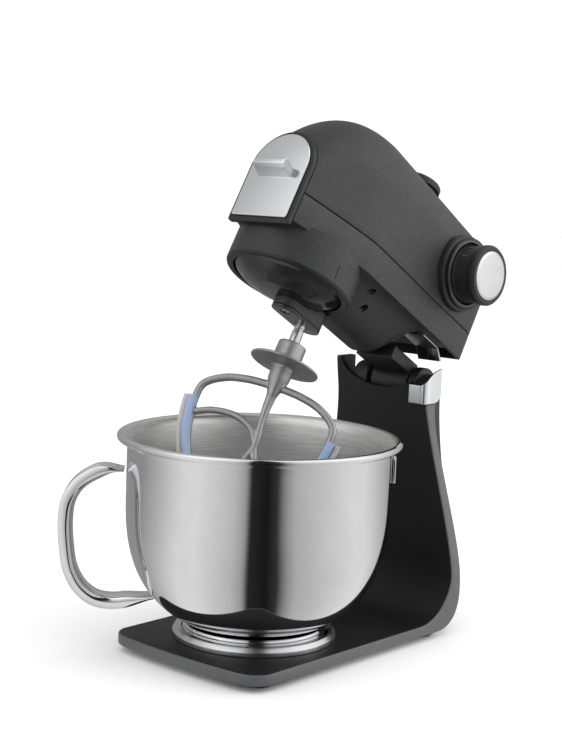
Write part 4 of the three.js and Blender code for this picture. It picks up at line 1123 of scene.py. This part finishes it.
def speed_knob():
    profile = rounded([(0, 62), (26.8, 62, 0.5), (25.2, 66, 1), (24.2, 78.5, 0.8), (26.4, 80.5, 0.6),
                       (26.5, 84.5, 1), (24.6, 86.8, 0.5), (21.8, 86.8, 0.2), (21.8, 85.4, 0.1), (0, 85.4)])
    dial = lathe("knob_dial", profile, KNOB, FINE_STEPS)
    dial = merged("knob_dial", dial, drill("spindle", 5, 50, 63, KNOB, 32))
    dressed(dial, "knob", "black_plastic", MATT_BLACK, replaces=["speed_knob"])
    knob_face()
    ticks = []
    for i in range(9):
        turn = POINTER @ Matrix.Rotation(math.radians(27 * (i - 4)), 4, "Z")
        top = 74 if i % 4 == 0 else 72.5
        ticks.append(block("tick", 25, 25.35, -0.3, 0.3, 69, top, turn, 0.05))
    dressed(merged("dial_marks", *ticks), "knob", "satin_steel", TICK_PAINT)


# ------------------------------------------------------------ beater, with its shaft up and its plane along X

BOWL_RADIUS = 109.5
BOWL_WALL = 1.2
BOWL_FLOOR = 28
BOWL_SHOULDER = 130
BOWL_DEPTH = 112
BOWL_RIM_Z = 184
BOWL_RIM_RADIUS = 118
EDGE_TOP = -106
FRAME_CLEARANCE = 12.8
FIN_INNER = 7.6
FIN_OUTER = 2.7


def bowl_radius(z):
    below = np.clip((BOWL_SHOULDER - z) / BOWL_DEPTH, 0, 1)
    return BOWL_RADIUS * (1 - below ** 2.5) ** 0.4


def reach(z, clearance):
    return bowl_radius(z + HINGE_Z) - BOWL_WALL - ORBIT - clearance


def floor_at(clearance):
    return BOWL_FLOOR + 1.2 + 0.9 * clearance - HINGE_Z


def edge_line(clearance, side, count):
    """Down one side of the beater at a clearance from the bowl, as (x, z)."""
    z = mix(EDGE_TOP, floor_at(clearance), np.sin(np.linspace(0, 0.5 * math.pi, count + 1)))
    return np.column_stack((side * reach(z, clearance), z))


def side_line(side):
    line = [(side * 4, -75.5), (side * 24, -77), (side * 43, -82), (side * 58, -93)]
    return chain(line, edge_line(FRAME_CLEARANCE, side, 6), [(-side * 3, floor_at(FRAME_CLEARANCE))])


def beater_frame():
    """Cast frame: arms, stem, rib and legs grown into one body."""
    low = floor_at(FRAME_CLEARANCE)
    hub = rounded([(0, -86), (4.2, -85, 1), (6.5, -77, 3), (9.2, -69, 3), (9.8, -58, 1), (30, -56.7, 0.4),
                   (30, -54.4, 0.6), (12.2, -53.6, 0.8), (12.2, -36, 0.8), (0, -36)])
    parts = [lathe("cast_beater", hub, BEATER, 96)]
    for side in (1, -1):
        line = spline(side_line(side), 120)
        parts.append(sweep("arm", line, lambda t: ellipse(6.6, 6.6, 20, 0.85), BEATER))
    stem = spline([(0, -80), (0, -98), (1, -112), (3, -124), (3, -133)], 40)
    parts.append(sweep("stem", stem, lambda t: ellipse(mix(9.5, 6.4, min(1, 2.2 * t)), 6.6, 20, 0.9), BEATER))
    rib_end = 1 - reach(-119, FRAME_CLEARANCE)
    ribs = [spline([(rib_end, -119), (-42, -112), (-22, -110), (-6, -116), (2, -127)], 60),
            spline([(3, -130), (-2, -146), (-11, -163), (-17, low)], 40),
            spline([(3, -130), (9, -146), (16, -163), (20, low)], 40)]
    parts += [sweep("rib", line, lambda t: ellipse(5.8, 6.2, 20, 0.9), BEATER) for line in ribs]
    cast = grown(merged("cast_beater", *parts), 0.75)
    smooth = cast.modifiers.new("fillets", "SMOOTH")
    smooth.factor = 0.6
    smooth.iterations = 7
    settled(cast)
    slot = block("slot", -9, 9, -1.9, 1.9, -60, -30, BEATER, 0.1)
    carved(cast, drill("bore", SHAFT_BORE, -66.4, 0, BEATER), slot, sharp=50)
    dressed(cast, "beater", "cast_aluminium", CAST, replaces=["beater_frame"])


def band(name, inner, outer, half_depth, rim):
    """Strip along the beater's edge between two clearances from the bowl, one shoulder to the other."""
    lines = []
    for clearance in (inner, outer):
        right, left = (edge_line(clearance, side, 40) for side in (1, -1))
        lines.append(resampled(chain(right, left[::-1]), 160))
    rings = []
    for a, b in zip(*lines):
        width = np.linalg.norm(b - a)
        out = (b - a) / width
        inset = min(rim, 0.45 * width)
        near, far = a + out * inset, b - out * inset
        corner = [(near, -half_depth), (far, -half_depth), (b, -half_depth + inset), (b, half_depth - inset),
                  (far, half_depth), (near, half_depth), (a, half_depth - inset), (a, -half_depth + inset)]
        rings.append([(p[0], y, p[1]) for p, y in corner])
    return lofted(name, rings, BEATER, 50)


def beater_edges():
    sleeve = band("silicone_sleeve", FRAME_CLEARANCE + 1.9, FIN_INNER, 4.7, 1.3)
    bars = [sweep("bar", spline(side_line(side), 120), lambda t: ellipse(7.6, 7.6, 20, 0.9), BEATER)
            for side in (1, -1)]
    carved(sleeve, settled(grown(merged("bars", *bars), 0.8)), sharp=50)
    dressed(sleeve, "beater", "blue_silicone", BLUE, replaces=["beater_silicone_edge"])
    fin = band("silicone_fin", FIN_INNER - GAP, FIN_OUTER, 0.8, 0.5)
    dressed(fin, "beater", "grey_silicone", CLEAR, replaces=["beater_wiper_fin"])


# ------------------------------------------------------------ bowl


def bowl_side(inset, count=64):
    """(radius, z) up the bowl's wall, from the flat of its floor."""
    low = BOWL_FLOOR - 0.6 + inset
    z = mix(low, BOWL_SHOULDER, (1 - np.cos(np.linspace(0, 0.5 * math.pi, count + 1))) ** 1.15)
    return np.column_stack((bowl_radius(z - 0.5 * inset) - inset, z))


def bowl():
    """Shell with a rolled rim: mirror outside, brushed inside."""
    roll = 3
    inner_radius = BOWL_RADIUS - BOWL_WALL
    neck = [(BOWL_RADIUS, 170), (BOWL_RADIUS, 176), (BOWL_RADIUS + 1.2, 178), (BOWL_RADIUS + 3.5, 178)]
    outer = chain([(0, BOWL_FLOOR - 1.5), (50, BOWL_FLOOR - 1.5)], bowl_side(0), [(BOWL_RADIUS, 150)],
                  bezier(*neck, 10), arc((BOWL_RIM_RADIUS - roll, BOWL_RIM_Z - roll), roll, -90, 110, 18))
    lip = [outer[-1], outer[-1] - (2.6, 0.8), (BOWL_RADIUS + 0.2, 181), (inner_radius, 175)]
    inner = chain(bezier(*lip, 8), [(inner_radius, 150)], bowl_side(BOWL_WALL)[::-1],
                  [(50, BOWL_FLOOR), (0, BOWL_FLOOR)])
    inside = {tuple(np.round((a + b) / 2, 6)) for a, b in zip(inner, inner[1:])}
    shell = lathe("mixing_bowl", chain(outer, inner), TABLE, 220, 40,
                  lambda r, z: int(tuple(np.round((r, z), 6)) in inside))
    dressed(shell, "bowl", "polished_steel", MIRROR, BRUSHED, replaces=["bowl_shell"])


def bowl_foot():
    """Foot ring with its three bayonet lugs."""
    profile = rounded([(52.5, 20), (52.5, 15.4, 0.3), (60, 15.4, 0.8), (60, 21.6, 0.8), (58.8, 22.8, 0.8),
                       (60, 24, 0.8), (58.8, 26.1, 0.4), (52.5, 26.1, 0.3), (52.5, 20)])
    foot = lathe("bowl_foot_ring", profile, TABLE, 180, 40)
    outline = np.vstack((arc((0, 0), 59, -9.5, 9.5, 12), arc((0, 0), 63.2, 9.1, -9.1, 12)))
    for i in range(3):
        turn = TABLE @ Matrix.Rotation(math.radians(120 * i), 4, "Z")
        foot = merged("bowl_foot_ring", foot, slab("lug", outline, 15.6, 19, turn, 0.3))
    dressed(foot, "bowl", "polished_steel", MIRROR, replaces=["bowl_foot"])


def handle_section(depth, width):
    """Formed channel: crowned outside, with a bead down each edge and a groove between them inside."""
    w, d = width / 2, depth / 2
    outside = [(d * math.cos(a) ** 0.9 if math.cos(a) > 0 else 0, w * math.sin(a))
               for a in np.linspace(-0.5 * math.pi, 0.5 * math.pi, 17)]
    bead = ((0.55, 0.98), (0.95, 0.86), (1, 0.68), (0.85, 0.5), (0.5, 0.34), (0.3, 0.16))
    inside = [(-d * deep, w * wide) for deep, wide in bead]
    return outside + inside + [(-0.26 * d, 0)] + [(a, -b) for a, b in inside[::-1]]


def bowl_handle():
    line = spline([(111.5, 151.5), (124, 151.5), (135, 148), (148, 139), (156, 126), (158.5, 110),
                   (157.5, 88), (154, 68), (146, 53), (134, 43.5), (120, 40.8), (104, 42.6), (84, 46)], 170)

    def section(share):
        depth = mix(3.2, 12, smoothstep(share, 0, 0.12)) * mix(1, 0.3, smoothstep(share, 0.86, 1))
        return [(-a, b) for a, b in handle_section(depth, 22)]

    grip = sweep("steel_handle", line, section, HANDLE, 50)
    outline = rounded([(0, 148), (11, 148, 1), (11, 171, 6), (-11, 171, 6), (-11, 148, 1), (0, 148)])[:-1]
    tab_place = along_y(HANDLE @ Matrix.Rotation(0.5 * math.pi, 4, "Z"))
    tab = slab("tab", outline, -(BOWL_RADIUS + 2.6), -(BOWL_RADIUS + GAP), tab_place, 0.4)
    body = chain([(0, 20), (54, 20)], bowl_side(0) + (GAP, 0), [(BOWL_RADIUS + GAP, 174), (0, 174)])
    handle = merged("steel_handle", grip, tab)
    carved(handle, lathe("bowl_body", body, TABLE, 220), sharp=50)
    dressed(handle, "bowl", "polished_steel", MIRROR, replaces=["bowl_handle"])


# ------------------------------------------------------------ inside, carried over from the part as it is

INSIDE = {
    MATT_BLACK: ("base_bottom_plate", "speed_control"),
    CAST: ("gearbox_plate",),
    SHAFT_STEEL: ("motor_stator", "motor_pulley", "planet_shaft", "planet_spindle"),
    COPPER: ("motor_rotor",),
    NYLON: ("ring_gear", "layshaft_wheel", "main_gear", "planet_gear"),
    RUBBER: ("drive_belt",),
    BOARD: ("control_board",),
}


def carried_over():
    for one, names in INSIDE.items():
        for name in names:
            node = NODES[name]
            node.data.materials.clear()
            node.data.materials.append(one)
            crisp(node, 35)


# ------------------------------------------------------------ studio

CAMERA_AZIMUTH = math.radians(41.48)
CAMERA_ELEVATION = math.radians(7.34)
CAMERA_ROLL = math.radians(2.15)
CAMERA_POINT = Vector((865.65, -956.49, 400.0))
CAMERA_LENS = 76.02


def camera():
    a, e = CAMERA_AZIMUTH, CAMERA_ELEVATION
    back = Vector((math.sin(a) * math.cos(e), -math.cos(a) * math.cos(e), math.sin(e)))
    level = Vector((math.cos(a), math.sin(a), 0))
    upright = back.cross(level)
    c, s = math.cos(CAMERA_ROLL), math.sin(CAMERA_ROLL)
    data = bpy.data.cameras.new("camera")
    data.lens = CAMERA_LENS
    data.sensor_width = 36
    made = bpy.data.objects.new("camera", data)
    turn = Matrix((level * c + upright * s, upright * c - level * s, back)).transposed()
    made.matrix_world = Matrix.Translation(TABLE @ CAMERA_POINT) @ turn.to_4x4()
    bpy.context.scene.collection.objects.link(made)
    bpy.context.scene.camera = made


def round_the_mixer(azimuth, distance, height):
    """A point round the bowl, at an azimuth counted from the camera's."""
    a = CAMERA_AZIMUTH + math.radians(azimuth)
    return Vector((BOWL_AXIS.x + math.sin(a) * distance, BOWL_AXIS.y - math.cos(a) * distance, height))


def facing(made, place, target):
    made.location = place
    made.rotation_mode = "QUATERNION"
    made.rotation_quaternion = (target - place).to_track_quat("-Z", "Y")
    bpy.context.scene.collection.objects.link(made)
    return made


def softbox(name, azimuth, distance, height, width, tall, power):
    data = bpy.data.lights.new(name, "AREA")
    data.shape = "RECTANGLE"
    data.size, data.size_y = width, tall
    data.energy = power
    made = facing(bpy.data.objects.new(name, data), round_the_mixer(azimuth, distance, height),
                  Vector((BOWL_AXIS.x, BOWL_AXIS.y, 0.2)))
    made.visible_camera = False
    return made


# Brightness round the light tent, by azimuth from the camera: broad soft panels with one dark gap in front.
TENT_LIGHT = ((-180, 0.35), (-110, 0.42), (-85, 0.72), (-62, 1.08), (-48, 1.12), (-35, 0.98), (-17, 0.75),
              (-9, 0.5), (-5, 0.03), (8, 0.013), (16, 0.05), (23, 0.42), (30, 0.66), (45, 0.8), (65, 0.98),
              (85, 1.12), (97, 1.1), (110, 0.92), (128, 0.67), (150, 0.41), (180, 0.35))
TENT_RADIUS = 0.9
TENT_HEIGHT = 2.0


def tent_material():
    """Glow that varies round the tent and rises with height."""
    made = bpy.data.materials.new("tent_cloth")
    made.use_nodes = True
    tree = made.node_tree
    tree.nodes.remove(tree.nodes["Principled BSDF"])
    where = object_coordinates(tree)
    azimuth_share = node(tree, "TexGradient", {"Vector": where})
    azimuth_share.gradient_type = "RADIAL"
    ramp = node(tree, "ValToRGB", {"Fac": azimuth_share.outputs["Fac"]})
    stops = ramp.color_ramp.elements
    for azimuth, _ in TENT_LIGHT[1:-1]:
        stops.new(0.5 + azimuth / 360)
    for stop, (_, light) in zip(stops, TENT_LIGHT):
        stop.color = (light, light, light, 1)
    height = node(tree, "SeparateXYZ", {"Vector": where}).outputs["Z"]
    strength = ranged(tree, height, 0.8, 1.25, 0, 0.9)
    glow = node(tree, "Emission", {"Color": ramp.outputs["Color"], "Strength": strength})
    tree.links.new(glow.outputs["Emission"], tree.nodes["Material Output"].inputs["Surface"])
    return made


def tent():
    """Drum of soft light round the mixer, seen only in its glossy surfaces."""
    low = 0.0006
    profile = [(0.01, low), (TENT_RADIUS, low), (TENT_RADIUS, TENT_HEIGHT), (0.01, TENT_HEIGHT)]
    drum = lathe("light_tent", profile, Matrix.Identity(4), 96)
    drum.data.materials.append(tent_material())
    turn = Matrix.Rotation(CAMERA_AZIMUTH - 0.5 * math.pi, 4, "Z")
    drum.matrix_world = Matrix.Translation((BOWL_AXIS.x, BOWL_AXIS.y, 0)) @ turn
    drum.visible_camera = False
    drum.visible_diffuse = False
    drum.visible_transmission = False
    drum.visible_shadow = False


def studio():
    floor = slab("studio_floor", ellipse(24, 24, 96), -0.05, -0.0002, Matrix.Identity(4), 0.001)
    floor.data.materials.append(BACKGROUND)
    softbox("left_softbox", -60, 2.4, 0.9, 2.2, 2.4, 12)
    softbox("right_softbox", 92, 2.4, 0.9, 2.2, 2.4, 45)
    softbox("top_softbox", 180, 0.6, 2.6, 2.4, 2.4, 6)
    tent()
    world = bpy.data.worlds.new("studio_air")
    world.use_nodes = True
    background = world.node_tree.nodes["Background"]
    background.inputs["Color"].default_value = (1, 1, 1, 1)
    background.inputs["Strength"].default_value = 1.1
    bpy.context.scene.world = world
    bpy.context.scene.view_settings.view_transform = "Standard"


base_plate()
feet()
rear_cover()
clamp_ring()
cord_gland()
knuckles()
lever_plate()
lever_core()
head_covers()
port_cap()
lower_housing()
front_bezel()
hub_cover()
hinge_barrel()
latch_bracket()
planet_dome()
carrier_arm()
carrier_cap()
output_shaft()
knob_collar()
knob_knurl()
speed_knob()
beater_frame()
beater_edges()
bowl()
bowl_foot()
bowl_handle()
carried_over()
camera()
studio()
